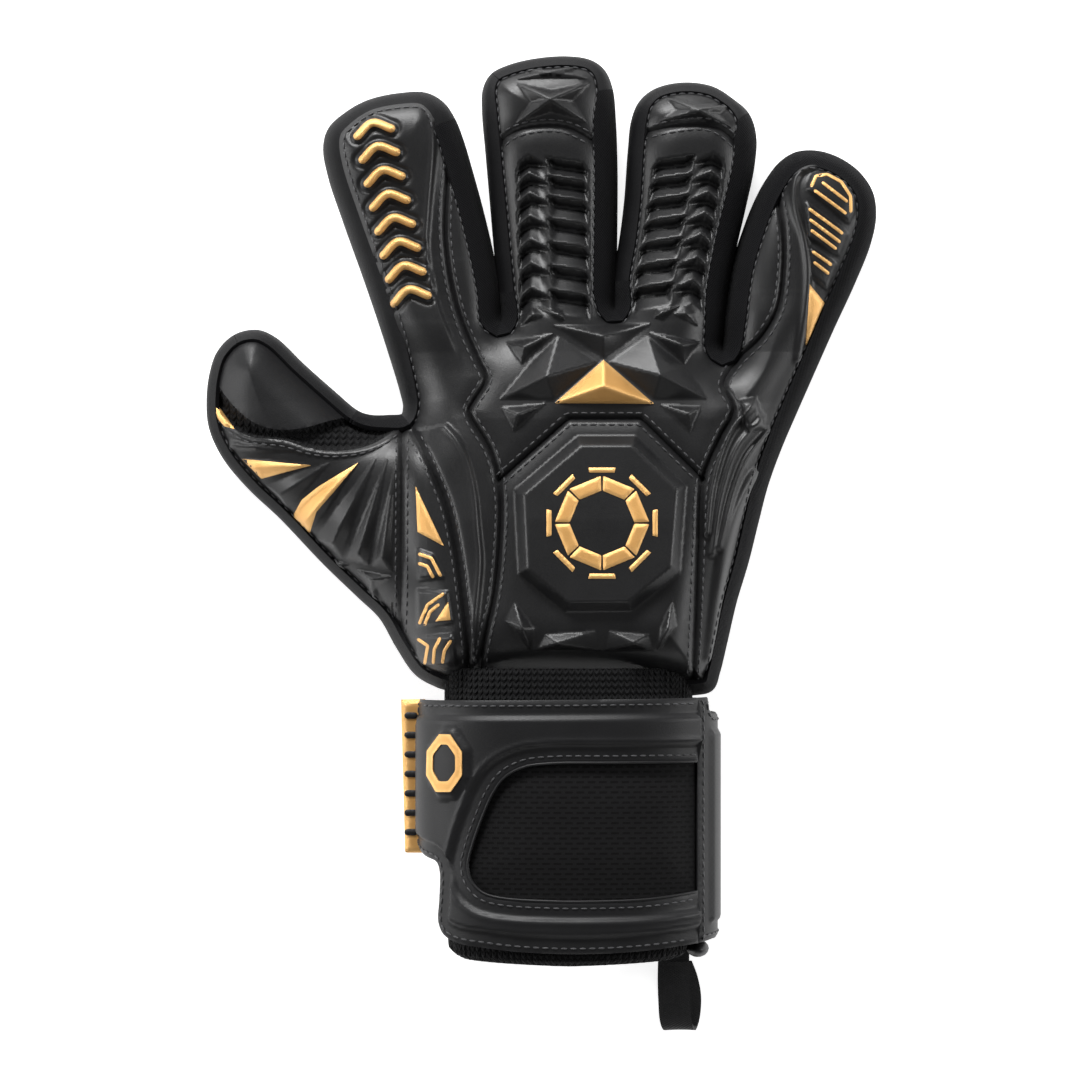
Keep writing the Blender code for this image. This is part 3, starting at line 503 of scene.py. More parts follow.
def base_height(points, edge):
    """The plain rounded back of the hand: edge is how far each point is in from the outline."""
    x, y = points[:, 0], points[:, 1]
    middle = table(HAND_HEIGHT, y)
    thumb = THUMB_HEIGHT[0] - THUMB_HEIGHT[1] * np.maximum(FOLD_ZONE_X[0] - x, 0)
    toward_thumb = smooth((-30 - x) / 34) * smooth((60 - y) / 12)
    top = middle + (np.minimum(thumb, middle) - middle) * toward_thumb
    reach = table(ROUNDING, y)
    share = np.clip(edge / reach, 0, 1)
    return EQUATOR + (top - EQUATOR) * (1 - (1 - share) ** 2.3) ** (1 / 2.3)


def relief(points):
    """Everything moulded or sewn into the back, above its plain rounded shape."""
    x, y = points[:, 0], points[:, 1]
    from_rim = distance_to(points, closed_rim)
    at_rim = rim_lift[nearest(points, rim_line)[0]]
    raised = (at_rim + (PANEL_LIFT - at_rim) * smooth((from_rim - 2) / 9)) * smooth(from_rim / 1.6)
    for name, depth in (("gold_left", 1.0), ("gold_right", 1.2), ("index", 1.5), ("little", 1.5),
                        ("middle_tip", 1.0), ("ring_tip", 1.0), ("octagon", 1.5)):
        near = distance_to(points, seams[name])
        raised -= depth * np.exp(-(near / 0.7) ** 2) + 0.8 * np.exp(-(near / 3.2) ** 2)
    for polygon, peak, height in FACETS:
        raised += facet(points, polygon, peak, height)
    for corners, peak, height in TIP_STARS:
        raised += star(points, corners, peak, height)
    raised += plateau(points, OCTAGON, OCTAGON_CENTRE, OCTAGON_HEIGHT, OCTAGON_BEVEL)
    finger_of = finger_number(points)
    raised -= louvres(points, MIDDLE_PEAKS, 1) * (finger_of == 1)
    raised -= louvres(points, RING_PEAKS, -1) * (finger_of == 2)
    upper, lower = curve(INDEX_CREASE), curve(INDEX_LOW_CREASE)
    upper_pad = inside(points, np.vstack([upper, INDEX_PAD_BACK])) * smooth((y - 43) / 16)
    lower_pad = inside(points, np.vstack([lower, seams["gold_right"]]))
    lower_pad = lower_pad * smooth((distance_to(points, seams["gold_right"]) - 0.4) / 2.0)
    for crease, pad in ((upper, upper_pad), (lower, lower_pad)):
        near = distance_to(points, crease)
        raised += pad * (1.5 * smooth(near / 1.8) + 0.5 * np.exp(-((near - 1.2) / 1.0) ** 2))
    ridge = curve(LITTLE_RIDGE)
    near_ridge = distance_to(points, ridge)
    raised += 1.3 * np.exp(-(near_ridge / 1.1) ** 2)
    raised -= 0.7 * inside(points, ridge) * smooth(near_ridge / 1.5)
    for block in LITTLE_BLOCKS + TRIM_BLOCKS:
        raised += plateau(points, block, np.mean(block, axis=0), 1.2, 0.7)
    bolster = distance_to(points, curve(BOLSTER))
    raised += 2.4 * (1 - smooth(bolster / 3.4))
    for rib in FLOW_RIBS:
        raised += 1.6 * np.exp(-(distance_to(points, curve(rib)) / 0.9) ** 2)
    raised += plateau(points, LITTLE_LEAF, np.mean(LITTLE_LEAF, axis=0), 2.2, 1.6)
    hem = smooth((-44.5 - y) / 1.2) * (x > -52)
    raised -= 0.7 * hem
    for chevron in finger_chevrons():
        near = distance_to(points, chevron)
        raised += 0.9 * (1 - smooth((near - 0.8) / 0.8)) - 0.6 * np.exp(-((near - 2.3) / 0.6) ** 2)
    thumb_edge, thumb_hem = seams["thumb_edge"], seams["thumb_hem"]
    gap = np.vstack([thumb_edge, thumb_hem[::-1]])
    in_gap = inside(points, gap)
    hem_near = distance_to(points, thumb_hem)
    edge_near = distance_to(points, thumb_edge)
    raised -= 3.2 * in_gap * smooth(hem_near / 1.4) * smooth(0.1 + edge_near / 2.6)
    raised += 0.7 * np.exp(-((hem_near - 1.0) / 0.8) ** 2) * (1 - in_gap)
    return raised


def surface(points):
    """Height of the back at each (x, y), relief and all."""
    points = np.asarray(points, float)
    edge = distance_to(points, closed_outline)
    return base_height(points, edge) + relief(points)


# ------------------------------------------------------------------------------------ mesh helpers

def build(name, points, faces, material, part, thickness=0.0, cloth=None, crisp=None):
    """One piece of the glove from points in millimetres."""
    mesh = bpy.data.meshes.new(name)
    mesh.from_pydata((np.asarray(points, float) * MM).tolist(), [], [list(face) for face in faces])
    mesh.validate()
    layout = np.zeros((len(mesh.vertices), 3), np.float32)
    source = np.asarray(points if cloth is None else cloth, float)
    layout[:, :source.shape[1]] = source
    mesh.attributes.new(CLOTH, "FLOAT_VECTOR", "POINT").data.foreach_set("vector", layout.ravel())
    piece = bpy.data.objects.new(name, mesh)
    bpy.context.scene.collection.objects.link(piece)
    mesh.materials.append(materials[material])
    mesh.shade_smooth()
    if crisp:
        mesh.set_sharp_from_angle(angle=math.radians(crisp))
    keep_borders_crisp(mesh)
    bind(piece, part)
    if thickness:
        shell = piece.modifiers.new("thickness", "SOLIDIFY")
        shell.thickness = thickness * MM
        shell.offset = -1
    return piece


def keep_borders_crisp(mesh):
    """Marks open borders sharp, so that the shading runs on across a cut."""
    corners = np.empty(len(mesh.loops), np.int32)
    mesh.loops.foreach_get("edge_index", corners)
    lonely = np.bincount(corners, minlength=len(mesh.edges)) == 1
    if lonely.any() and not lonely.all():
        sharp = mesh.attributes.get("sharp_edge") or mesh.attributes.new("sharp_edge", "BOOLEAN", "EDGE")
        sharp.data.foreach_set("value", lonely)


def hexagonal(low, high, spacing):
    """Evenly spread (x, y) points over a box."""
    rows = np.arange(low[1], high[1], spacing * 0.87)
    columns = np.arange(low[0], high[0], spacing)
    grid = np.stack(np.meshgrid(columns, rows), axis=-1)
    grid[1::2, :, 0] += spacing / 2
    return grid.reshape(-1, 2)


def triangulate(border, spacing, lines=()):
    """Points and upward triangles that fill a closed border and keep the given lines as edges."""
    border = np.asarray(border, float)
    fill = hexagonal(border.min(0), border.max(0), spacing)
    fill = fill[inside(fill, border)]
    clear = distance_to(fill, closed(border)) > spacing * 0.6
    for line in lines:
        clear &= distance_to(fill, line) > spacing * 0.55
    fill = fill[clear]
    points = [border]
    edges = [(k, (k + 1) % len(border)) for k in range(len(border))]
    count = len(border)
    for line in lines:
        even = resample(line, spacing)
        points.append(even)
        edges += [(count + k, count + k + 1) for k in range(len(even) - 1)]
        count += len(even)
    points.append(fill)
    joined = [Vector(point) for point in np.vstack(points).tolist()]
    found, _, faces, *_ = delaunay_2d_cdt(joined, edges, [], 1, 1e-4)
    found = np.array([tuple(point) for point in found])
    faces = np.array(faces)
    corners = found[faces]
    turn = np.cross(corners[:, 1] - corners[:, 0], corners[:, 2] - corners[:, 0])
    faces = np.where(turn[:, None] > 0, faces, faces[:, ::-1])
    return found, faces[inside(corners.mean(axis=1), border)]


def grid_faces(rows, columns, wrap=False):
    """The faces of a grid of points kept row by row. wrap joins its last column to its first."""
    last = columns if wrap else columns - 1
    return [(r * columns + c, r * columns + (c + 1) % columns, (r + 1) * columns + (c + 1) % columns,
             (r + 1) * columns + c) for r in range(rows - 1) for c in range(last)]


def turned(faces):
    """The same faces seen from their other side."""
    return [(a, d, c, b) for a, b, c, d in faces]


def pick(points, faces, chosen):
    """Only the chosen faces, with the points that they use."""
    faces = faces[chosen]
    used, numbers = np.unique(faces, return_inverse=True)
    return points[used], numbers.reshape(faces.shape)


def drape(name, border, material, part, lift, spacing=0.7, crown=0.0):
    """A thin raised shape that lies on the back of the hand."""
    border = resample(closed(border), 0.6)[:-1]
    if signed_area(border) < 0:
        border = border[::-1]
    points, faces = triangulate(border, spacing)
    near = distance_to(points, closed(border))
    height = surface(points) + lift * smooth(0.25 + near / 0.6) + crown * smooth(near / 1.4)
    build(name, np.column_stack([points, height]), faces, material, part, 0.6, crisp=CREASE_ANGLE)


def ribbon(line, width):
    """The closed border of a stroke with round ends."""
    left, right = beside(line, -width / 2), beside(line, width / 2)
    ends = []
    for end, toward in ((line[-1], line[-1] - line[-2]), (line[0], line[0] - line[1])):
        facing = math.atan2(toward[1], toward[0])
        turns = np.linspace(math.pi / 2, -math.pi / 2, 7)[1:-1] + facing
        ends.append(end + width / 2 * np.stack([np.cos(turns), np.sin(turns)], axis=1))
    return np.vstack([left, ends[0], right[::-1], ends[1]])


def join_strokes(name, borders, material, part, lift, crown):
    """Several draped shapes as one piece."""
    all_points, all_faces, count = [], [], 0
    for border in borders:
        border = resample(closed(border), 0.5)[:-1]
        points, faces = triangulate(border, 0.55)
        near = distance_to(points, closed(border))
        height = surface(points) + lift * smooth(0.25 + near / 0.5) + crown * smooth(near / 0.9)
        all_points.append(np.column_stack([points, height]))
        all_faces.append(faces + count)
        count += len(points)
    build(name, np.vstack(all_points), np.vstack(all_faces), material, part, 0.7, crisp=CREASE_ANGLE)


STITCH_LENGTH = 1.9
STITCH_PITCH = 2.7
STITCH_RADIUS = 0.28
STITCH_LIFT = 0.12


def thread(centres, along, up, length, radius):
    """Small sewn stitches: one rounded bead of thread at each centre."""
    rings = ((-0.5, 0.15), (-0.38, 0.75), (0, 1.0), (0.38, 0.75), (0.5, 0.15))
    sides = 6
    points, faces = [], []
    for centre, way, top in zip(centres, along, up):
        side = np.cross(way, top)
        first = len(points)
        for place, size in rings:
            for k in range(sides):
                turn = 2 * math.pi * k / sides
                points.append(centre + way * place * length
                              + radius * size * (side * math.cos(turn) + top * math.sin(turn)))
        faces += [tuple(first + k for k in face) for face in grid_faces(len(rings), sides, True)]
        faces.append(tuple(first + k for k in reversed(range(sides))))
        faces.append(tuple(first + (len(rings) - 1) * sides + k for k in range(sides)))
    return np.array(points), faces


def unit(vectors):
    """The same vectors at length 1."""
    return vectors / np.linalg.norm(vectors, axis=1)[:, None]


def upright(up, along):
    """What is left of the up vectors square to the way the line runs, at length 1."""
    return unit(up - along * np.sum(up * along, axis=1)[:, None])


def stitch_ends(lines):
    """Where each stitch along the lines starts, and where it ends."""
    rows = [resample(line, STITCH_PITCH / 2) for line in lines]
    return np.vstack([row[0:-2:2] for row in rows]), np.vstack([row[1:-1:2] for row in rows])


def stitch_rows(name, lines, lift=STITCH_LIFT, height=surface):
    """Rows of stitches along lines on the hand, one piece for each part of the glove."""
    starts, ends = stitch_ends(lines)
    low = np.column_stack([starts, height(starts)])
    high = np.column_stack([ends, height(ends)])
    centres = (low + high) / 2 + (0, 0, lift)
    along = unit(high - low)
    up = unit(np.cross(np.cross(along, (0, 0, 1)), along))
    parts = part_at(centres[:, :2])
    for part in sorted(set(parts)):
        mine = parts == part
        points, faces = thread(centres[mine], along[mine], up[mine], STITCH_LENGTH, STITCH_RADIUS)
        build(f"{name}_{part}", points, faces, "thread", part)


# --------------------------------------------------------------------------------------- materials

materials = {}


def finish_of(name, colour, dark, roughness, metallic=0.0, grain=(1.8, 0.10), wear=0.25, sheen=0.0,
              coat=0.0, specular=0.5, pattern=None):
    """A procedural finish: mottled colour, worn edges, a fine grain and, where it is cloth, its weave."""
    material = bpy.data.materials.new(name)
    material.use_nodes = True
    nodes, links = material.node_tree.nodes, material.node_tree.links
    shader = nodes["Principled BSDF"]
    shader.inputs["Metallic"].default_value = metallic
    shader.inputs["Specular IOR Level"].default_value = specular
    shader.inputs["Sheen Weight"].default_value = sheen
    shader.inputs["Coat Weight"].default_value = coat
    shader.inputs["Coat Roughness"].default_value = 0.45
    place = nodes.new("ShaderNodeAttribute")
    place.attribute_name = CLOTH

    def noise(scale, detail=3.0):
        node = nodes.new("ShaderNodeTexNoise")
        node.inputs["Scale"].default_value = scale
        node.inputs["Detail"].default_value = detail
        links.new(place.outputs["Vector"], node.inputs["Vector"])
        return node.outputs["Fac"]

    def math_node(kind, first, second):
        node = nodes.new("ShaderNodeMath")
        node.operation = kind
        for socket, value in zip(node.inputs, (first, second)):
            if isinstance(value, (int, float)):
                socket.default_value = value
            else:
                links.new(value, socket)
        return node.outputs[0]

    def ranged(value, low, high, out_low, out_high):
        node = nodes.new("ShaderNodeMapRange")
        limits = {"From Min": low, "From Max": high, "To Min": out_low, "To Max": out_high}
        for socket, number in limits.items():
            node.inputs[socket].default_value = number
        links.new(value, node.inputs["Value"])
        return node.outputs["Result"]

    mottle = noise(0.09)
    fine = noise(grain[0], 5.0)
    edges = nodes.new("ShaderNodeNewGeometry").outputs["Pointiness"]
    worn = math_node("MULTIPLY", ranged(edges, 0.50, 0.56, 0.0, 1.0), wear)
    blend = math_node("ADD", math_node("MULTIPLY", mottle, 0.55), math_node("MULTIPLY", fine, 0.45))
    blend = math_node("ADD", ranged(blend, 0.3, 0.7, 0.0, 0.75), worn)
    height = fine
    if pattern is not None:
        draw, weight = pattern
        split = nodes.new("ShaderNodeSeparateXYZ")
        links.new(place.outputs["Vector"], split.inputs[0])
        weave = draw(split.outputs["X"], split.outputs["Y"], math_node)
        height = math_node("ADD", fine, math_node("MULTIPLY", weave, weight))
        blend = math_node("ADD", math_node("MULTIPLY", blend, 0.3), math_node("MULTIPLY", weave, 0.7))
    colours = nodes.new("ShaderNodeMix")
    colours.data_type = "RGBA"
    colours.inputs[6].default_value = (*dark, 1)
    colours.inputs[7].default_value = (*colour, 1)
    links.new(blend, colours.inputs[0])
    links.new(colours.outputs[2], shader.inputs["Base Color"])
    links.new(ranged(fine, 0.25, 0.75, roughness - 0.06, roughness + 0.08), shader.inputs["Roughness"])
    bump = nodes.new("ShaderNodeBump")
    bump.inputs["Strength"].default_value = grain[1]
    bump.inputs["Distance"].default_value = 0.0004
    links.new(height, bump.inputs["Height"])
    links.new(bump.outputs["Normal"], shader.inputs["Normal"])
    materials[name] = material


def woven(pitch_x, pitch_y, weight):
    """A plain weave of crossing threads."""
    def draw(x, y, math_node):
        across = math_node("SINE", math_node("MULTIPLY", x, 2 * math.pi / pitch_x), 0)
        along = math_node("SINE", math_node("MULTIPLY", y, 2 * math.pi / pitch_y), 0)
        crossed = math_node("MULTIPLY", across, along)
        return math_node("ADD", math_node("MULTIPLY", crossed, 0.5), 0.5)
    return draw, weight


def dashed(pitch_x, pitch_y, width, weight):
    """Rows of short slots, each row half a slot along from the one before."""
    def draw(x, y, math_node):
        row = math_node("MULTIPLY", y, 1 / pitch_y)
        shift = math_node("MULTIPLY", math_node("FLOOR", row, 0), 0.5)
        column = math_node("ADD", math_node("MULTIPLY", x, 1 / pitch_x), shift)
        in_slot = math_node("LESS_THAN", math_node("PINGPONG", column, 0.5), 0.34)
        middle = math_node("SUBTRACT", math_node("FRACT", row, 0), 0.5)
        in_row = math_node("LESS_THAN", math_node("ABSOLUTE", middle, 0), width / pitch_y)
        return math_node("SUBTRACT", 1.0, math_node("MULTIPLY", in_slot, in_row))
    return draw, weight


def knitted(pitch_x, pitch_y, weight):
    """Rows of V-shaped loops."""
    def draw(x, y, math_node):
        column = math_node("MULTIPLY", x, 1 / pitch_x)
        lean = math_node("PINGPONG", column, 0.5)
        row = math_node("ADD", math_node("MULTIPLY", y, 1 / pitch_y), lean)
        loop = math_node("PINGPONG", row, 0.5)
        rib = math_node("SINE", math_node("MULTIPLY", column, math.pi), 0)
        rounded = math_node("MULTIPLY", math_node("ABSOLUTE", rib, 0), math_node("MULTIPLY", loop, 2.0))
        return math_node("POWER", rounded, 0.6)
    return draw, weight


finish_of("latex", (0.012, 0.012, 0.013), (0.006, 0.006, 0.0065), 0.44, grain=(2.6, 0.16), wear=0.25,
          coat=0.02, specular=0.30)
finish_of("foam", (0.013, 0.013, 0.0135), (0.005, 0.005, 0.0055), 0.38, grain=(3.2, 0.14), wear=0.4,
          coat=0.03, specular=0.40)
# The wall finish is the latex of the side walls. It is duller and rougher, and painted darker than the palm's
# latex: painted shade on the sides.
finish_of("wall", (0.010, 0.010, 0.011), (0.004, 0.004, 0.0045), 0.60, grain=(2.2, 0.30), wear=0.15,
          specular=0.14)
finish_of("textile", (0.008, 0.008, 0.009), (0.0015, 0.0015, 0.002), 0.85, grain=(4.0, 0.5), sheen=0.02,
          specular=0.10, pattern=woven(0.9, 0.9, 1.4))
finish_of("webbing", (0.014, 0.014, 0.015), (0.003, 0.003, 0.0034), 0.55, grain=(4.0, 0.4), sheen=0.05,
          specular=0.3, pattern=woven(1.2, 0.5, 1.2))
finish_of("knit", (0.014, 0.014, 0.015), (0.0006, 0.0006, 0.0008), 0.85, grain=(4.0, 1.0), sheen=0.03,
          specular=0.12, pattern=knitted(2.2, 1.9, 3.0))
finish_of("mesh", (0.0075, 0.0075, 0.008), (0.0004, 0.0004, 0.0005), 0.70, grain=(4.0, 0.8), sheen=0.01,
          specular=0.12, pattern=dashed(3.4, 1.5, 0.34, 2.6))
finish_of("gold", (0.86, 0.50, 0.18), (0.60, 0.30, 0.08), 0.38, metallic=0.6, grain=(6.5, 0.35), wear=0.6)
finish_of("thread", (0.075, 0.075, 0.08), (0.015, 0.015, 0.016), 0.45, grain=(8.0, 0.3), sheen=0.05,
          pattern=woven(0.35, 0.35, 1.0))
finish_of("plush", (0.010, 0.010, 0.011), (0.002, 0.002, 0.0024), 0.9, grain=(5.0, 1.0), sheen=0.1,
          specular=0.15, pattern=woven(0.7, 0.7, 1.2))

# ---------------------------------------------------------------------------- the back of the hand

TEXTILE_CROTCHES = ((-22.2, 58.8, 3.6), (11.8, 62.6, 3.4), (44.2, 50.4, 3.8))


def split_lines():
    """Where the padded back is cut, so that each joint has its own piece."""
    lines = [((-111, WEB_Y), (FOLD_ZONE_X[0], WEB_Y)), ((FOLD_ZONE_X[0], WEB_Y), (FOLD_ZONE_X[0], -52)),
             THUMB_SPLIT]
    for number, name in enumerate(FINGERS):
        for level in (BASE_Y[name], TIP_Y[name]):
            sides = [LEFT_X] + [float(table(gap, level)) for gap in FINGER_GAPS] + [RIGHT_X]
            lines.append(((sides[number], level), (sides[number + 1], level)))
    return lines


def regions_of(points):
    """The name of the panel each (x, y) of the back belongs to."""
    x, y = points[:, 0], points[:, 1]

    def within(name, corners):
        return inside(points, np.vstack([seams[name], corners]))

    names = np.full(len(points), "centre", dtype=object)
    names[within("octagon", [(60, 12), (60, -60), (-60, -60), (-60, 12)])] = "octagon"
    names[within("little", [(62, 140), (120, 140), (120, -60)])] = "little"
    names[within("index", [(-42, 140), (-120, 140), (-120, -60)])] = "index"
    left_of_gold = within("gold_right", [(-50.6, 30), (-120, 40), (-120, -60)])
    names[left_of_gold & (y < WEB_Y)] = "trim"
    left_of_fan = within("gold_left", [(-51.4, 31.5), (-120, 60), (-120, -60), (-52.5, -60)])
    names[left_of_fan & (x < -40)] = "fan"
    names[within("middle_tip", [(13, 110), (13, 142), (-30, 142), (-30, 106)])] = "cap"
    names[within("ring_tip", [(56, 108), (56, 142), (14, 142), (14, 114)])] = "cap"
    edge, hem = seams["thumb_edge"], seams["thumb_hem"]
    gap = inside(points, np.vstack([edge, hem[::-1]]))
    beyond = inside(points, np.vstack([edge[::-1], [(-112, 44), (-112, 60), (-64, 60)]]))
    names[gap] = "liner"
    names[beyond & (x < -60)] = "thumb"
    for cx, cy, radius in TEXTILE_CROTCHES:
        names[np.hypot(x - cx, y - cy) < radius] = "crotch"
    return names


REGION_FINISH = {"centre": "foam", "octagon": "foam", "little": "foam", "index": "foam", "trim": "foam",
                 "fan": "foam", "cap": "foam", "liner": "knit", "thumb": "latex", "crotch": "textile"}
REPLACED = {
    ("centre", "hand"): ("knuckle_panel",), ("octagon", "hand"): ("octagon_panel",),
    ("little", "hand"): ("little_side_panel",), ("index", "hand"): ("index_side_panel",),
    ("trim", "hand"): ("gold_trim_panel",), ("fan", "thumb_root"): ("thumb_fan_panel",),
}
for finger in FINGERS:
    panel = finger if finger in ("index", "little") else "centre"
    REPLACED[(panel, finger + "_base")] = (finger + "_base_panel", finger + "_base_spine",
                                           finger + "_knuckle_crease")
    REPLACED[(panel, finger + "_tip")] = (finger + "_tip_panel", finger + "_tip_spine",
                                          finger + "_middle_crease")
REPLACED[("fan", "thumb_end")] = ("thumb_fold_crease",)
REPLACED[("thumb", "thumb_end")] = ("thumb_tip_panel", "thumb_tip_crease")


def ridge_lines():
    """Edges of the moulded facets that the mesh follows."""
    lines = []
    for polygon, peak, _ in FACETS:
        lines.append(list(polygon) + [polygon[0]])
        lines += [(corner, peak) for corner in polygon]
    for corners, peak, _ in TIP_STARS:
        for corner, valley in star_sides(corners, peak):
            lines += [(corner, valley), (corner, peak), (valley, peak)]
    octagon, centre = np.array(OCTAGON), np.array(OCTAGON_CENTRE)
    reach = np.hypot(*(octagon - centre).T).min()
    for share in (1, 1 - OCTAGON_BEVEL / reach):
        lines.append(closed(centre + (octagon - centre) * share))
    for peaks, side in ((MIDDLE_PEAKS, 1), (RING_PEAKS, -1)):
        for peak in peaks:
            lines += louvre_edges(peak, side)
    return lines


FEWEST_FACES = 12          # a scrap smaller than this between two cuts is left out


def build_back():
    """The padded back of the hand, panel by panel."""
    border = resample(closed_rim, 0.7)[:-1]
    lines = list(seams.values()) + split_lines() + ridge_lines()
    points, faces = triangulate(border, SPACING, lines)
    whole = np.column_stack([points, surface(points)])
    middles = points[faces].mean(axis=1)
    regions, parts = regions_of(middles), part_at(middles)
    for region in sorted(set(regions)):
        for part in sorted(set(parts[regions == region])):
            chosen = (regions == region) & (parts == part)
            if chosen.sum() < FEWEST_FACES:
                continue
            piece_points, piece_faces = pick(whole, faces, chosen)
            piece = build(f"back_{region}_{part}", piece_points, piece_faces, REGION_FINISH[region], part,
                          PANEL_THICK, crisp=CREASE_ANGLE)
            if (region, part) in REPLACED:
                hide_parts(*REPLACED[(region, part)])


build_back()

# ------------------------------------------------------------------------------ sides and the palm

SIDE_ROWS = 15


def build_sides():
    """The side wall, from under the padded back, round the widest line, on to the palm."""
    count = len(outline)
    depth_top = rim_gap + TUCK
    rows = []
    for turn in np.linspace(0, 1, SIDE_ROWS):
        if turn < 0.5:
            depth = depth_top * (1 - turn / 0.5) ** 1.6
            height = base_height(outline + inward * depth[:, None], depth)
            height -= 0.5 * smooth((depth - rim_gap + 0.4) / 0.8)
        else:
            angle = (turn - 0.5) * math.pi
            depth = np.full(count, SOLE * (1 - math.cos(angle)))
            height = np.full(count, EQUATOR * (1 - math.sin(angle)))
        rows.append(np.column_stack([outline + inward * depth[:, None], height]))
    points = np.stack(rows, axis=1)
    lengths = np.concatenate([[0], np.cumsum(np.hypot(*np.diff(outline, axis=0).T))])
    parts = part_at(outline)
    labels = [f"{part}_{finish}" for part, finish in zip(parts, rim_finish)]
    start = 0
    while labels[start - 1] == labels[start]:
        start += 1
    order = np.roll(np.arange(count), -start)
    runs, run = [], [order[0]]
    for number in order[1:]:
        if labels[number] != labels[run[0]]:
            runs.append(run + [number])
            run = [number]
        else:
            run.append(number)
    runs.append(run + [order[0]])
    used = {}
    for run in runs:
        label = labels[run[0]]
        used[label] = used.get(label, 0) + 1
        grid = points[run]
        cloth = np.zeros(grid.shape)
        cloth[:, :, 0] = (lengths[run[0]] + 0.8 * np.arange(len(run)))[:, None]
        cloth[:, :, 1] = np.linspace(0, 24, SIDE_ROWS)[None]
        # Sides beside foam or latex take the wall finish: the latex painted darker, painted shade on the
        # sides.
        finish = "textile" if rim_finish[run[0]] == "textile" else "wall"
        build(f"side_{label}_{used[label]}", grid.reshape(-1, 3), grid_faces(len(run), SIDE_ROWS), finish,
              parts[run[0]], LATEX_THICK, cloth.reshape(-1, 3))


def build_palm():
    """The flat latex palm, with folding lines under each joint."""
    border = resample(closed(outline + inward * (SOLE - 0.6)), 1.0)[:-1]
    points, faces = triangulate(border, PALM_SPACING, split_lines())
    height = 0.02 * np.ones(len(points))
    for number, name in enumerate(FINGERS):
        mine = finger_number(points) == number
        for zone in (KNUCKLE_ZONE[name], MIDDLE_ZONE[name]):
            level = sum(zone) / 2
            height += 1.1 * mine * np.exp(-((points[:, 1] - level) / 1.3) ** 2)
    for line in (PALM_SEAM,) + PALM_LINES:
        height += 1.1 * np.exp(-(distance_to(points, curve(line)) / 0.8) ** 2)
    faces = faces[:, ::-1]
    whole = np.column_stack([points, height])
    parts = part_at(points[faces].mean(axis=1))
    for part in sorted(set(parts)):
        chosen = parts == part
        if chosen.sum() < FEWEST_FACES:
            continue
        piece_points, piece_faces = pick(whole, faces, chosen)
        piece = build(f"palm_{part}", piece_points, piece_faces, "latex", part, LATEX_THICK)
        if part in PALM_REPLACED:
            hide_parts(*PALM_REPLACED[part])


PALM_SEAM = ((-47, 30), (-34, 22), (-24, 8), (-20, -10), (-24, -30), (-32, -48))
PALM_LINES = (
    ((-20, 44), (0, 39), (24, 38), (46, 41)), ((-16, 30), (4, 25), (26, 24), (48, 26)),
    ((-12, 14), (8, 9), (26, 8), (44, 10)), ((-10, -4), (8, -9), (24, -10), (40, -8)),
    ((-14, -22), (4, -27), (20, -28), (36, -26)),
)
PALM_REPLACED = {"hand": ("palm_latex", "index_side_wall"), "thumb_root": ("thumb_base_latex",),
                 "thumb_end": ("thumb_tip_latex",)}
for finger in FINGERS:
    PALM_REPLACED[finger + "_base"] = (finger + "_base_latex",)
    PALM_REPLACED[finger + "_tip"] = (finger + "_tip_latex",)

build_sides()
build_palm()

# ------------------------------------------------------------------------------ seams and stitches

SEAM_STITCH = 1.7          # from a seam to the row of stitches beside it
RIM_STITCH = 1.4           # the same from the rim of the padding
PALM_STITCH = 1.8


def build_stitches():
    """A row of stitches each side of every seam, and one row round the rim."""
    rows = []
    for name in ("gold_left", "gold_right", "index", "little", "octagon", "middle_tip", "ring_tip"):
        rows += [beside(seams[name], SEAM_STITCH), beside(seams[name], -SEAM_STITCH)]
    rows.append(beside(seams["thumb_hem"], SEAM_STITCH))
    rows = [row[inside(row, outline + inward * (rim_gap[:, None] + 0.5))] for row in rows]
    rim = outline + inward * (rim_gap[:, None] + RIM_STITCH)
    rows += split_jumps(rim[rim_lift > 0.2])
    stitch_rows("stitches", [row for row in rows if len(row) > 4])
    seam = curve(PALM_SEAM)
    palm_rows = [closed(outline + inward * (SOLE + PALM_STITCH)), beside(seam, PALM_STITCH),
                 beside(seam, -PALM_STITCH)]
    stitch_rows("palm_stitches", palm_rows, lift=0.0, height=lambda spots: np.zeros(len(spots)))


build_stitches()

# -------------------------------------------------------------------------------------- gold pieces

TRIM_FACET = ((-47.4, 9.9), (-38.9, -7.8), (-46.8, -3.6))
TRIM_QUARTER = ((-41.4, -30.0), (-37.6, -24.2), (-36.9, -29.6))
THUMB_RAYS = (
    ((-99.9, 18.3), (-78.6, 16.2), (-93.9, 12.3)),
    ((-84.9, 0.6), (-81.6, 6), (-76.5, 9.9), (-69, 14.4), (-64.5, 17.1), (-72, 8.1), (-77.1, 2.4),
     (-79.5, -4.2)),
    ((-108.2, 39.5), (-107.2, 34.5), (-101.8, 27.2), (-105.0, 28.0), (-107.8, 31.0), (-108.9, 35.5)),
)
RAY_LIFTS = (0.55, 0.55, 1.2)      # the last one lies on the steep edge of the thumb
TRIM_LINES = (
    ((-46.2, -10.2), (-42.6, -11.4), (-40.0, -16.4)), ((-46.2, -13.0), (-43.8, -13.8), (-42.2, -16.9)),
    ((-39.2, -22.0), (-43.8, -25.2), (-46.2, -30.6)), ((-40.6, -25.2), (-43.2, -27.4), (-44.6, -31.0)),
    ((-46.6, -35.6), (-43.8, -37.4), (-44.8, -42.6)), ((-40.2, -35.2), (-41.8, -38.4), (-42.2, -42.4)),
    ((-37.0, -36.0), (-38.8, -38.8), (-39.4, -42.2)),
)
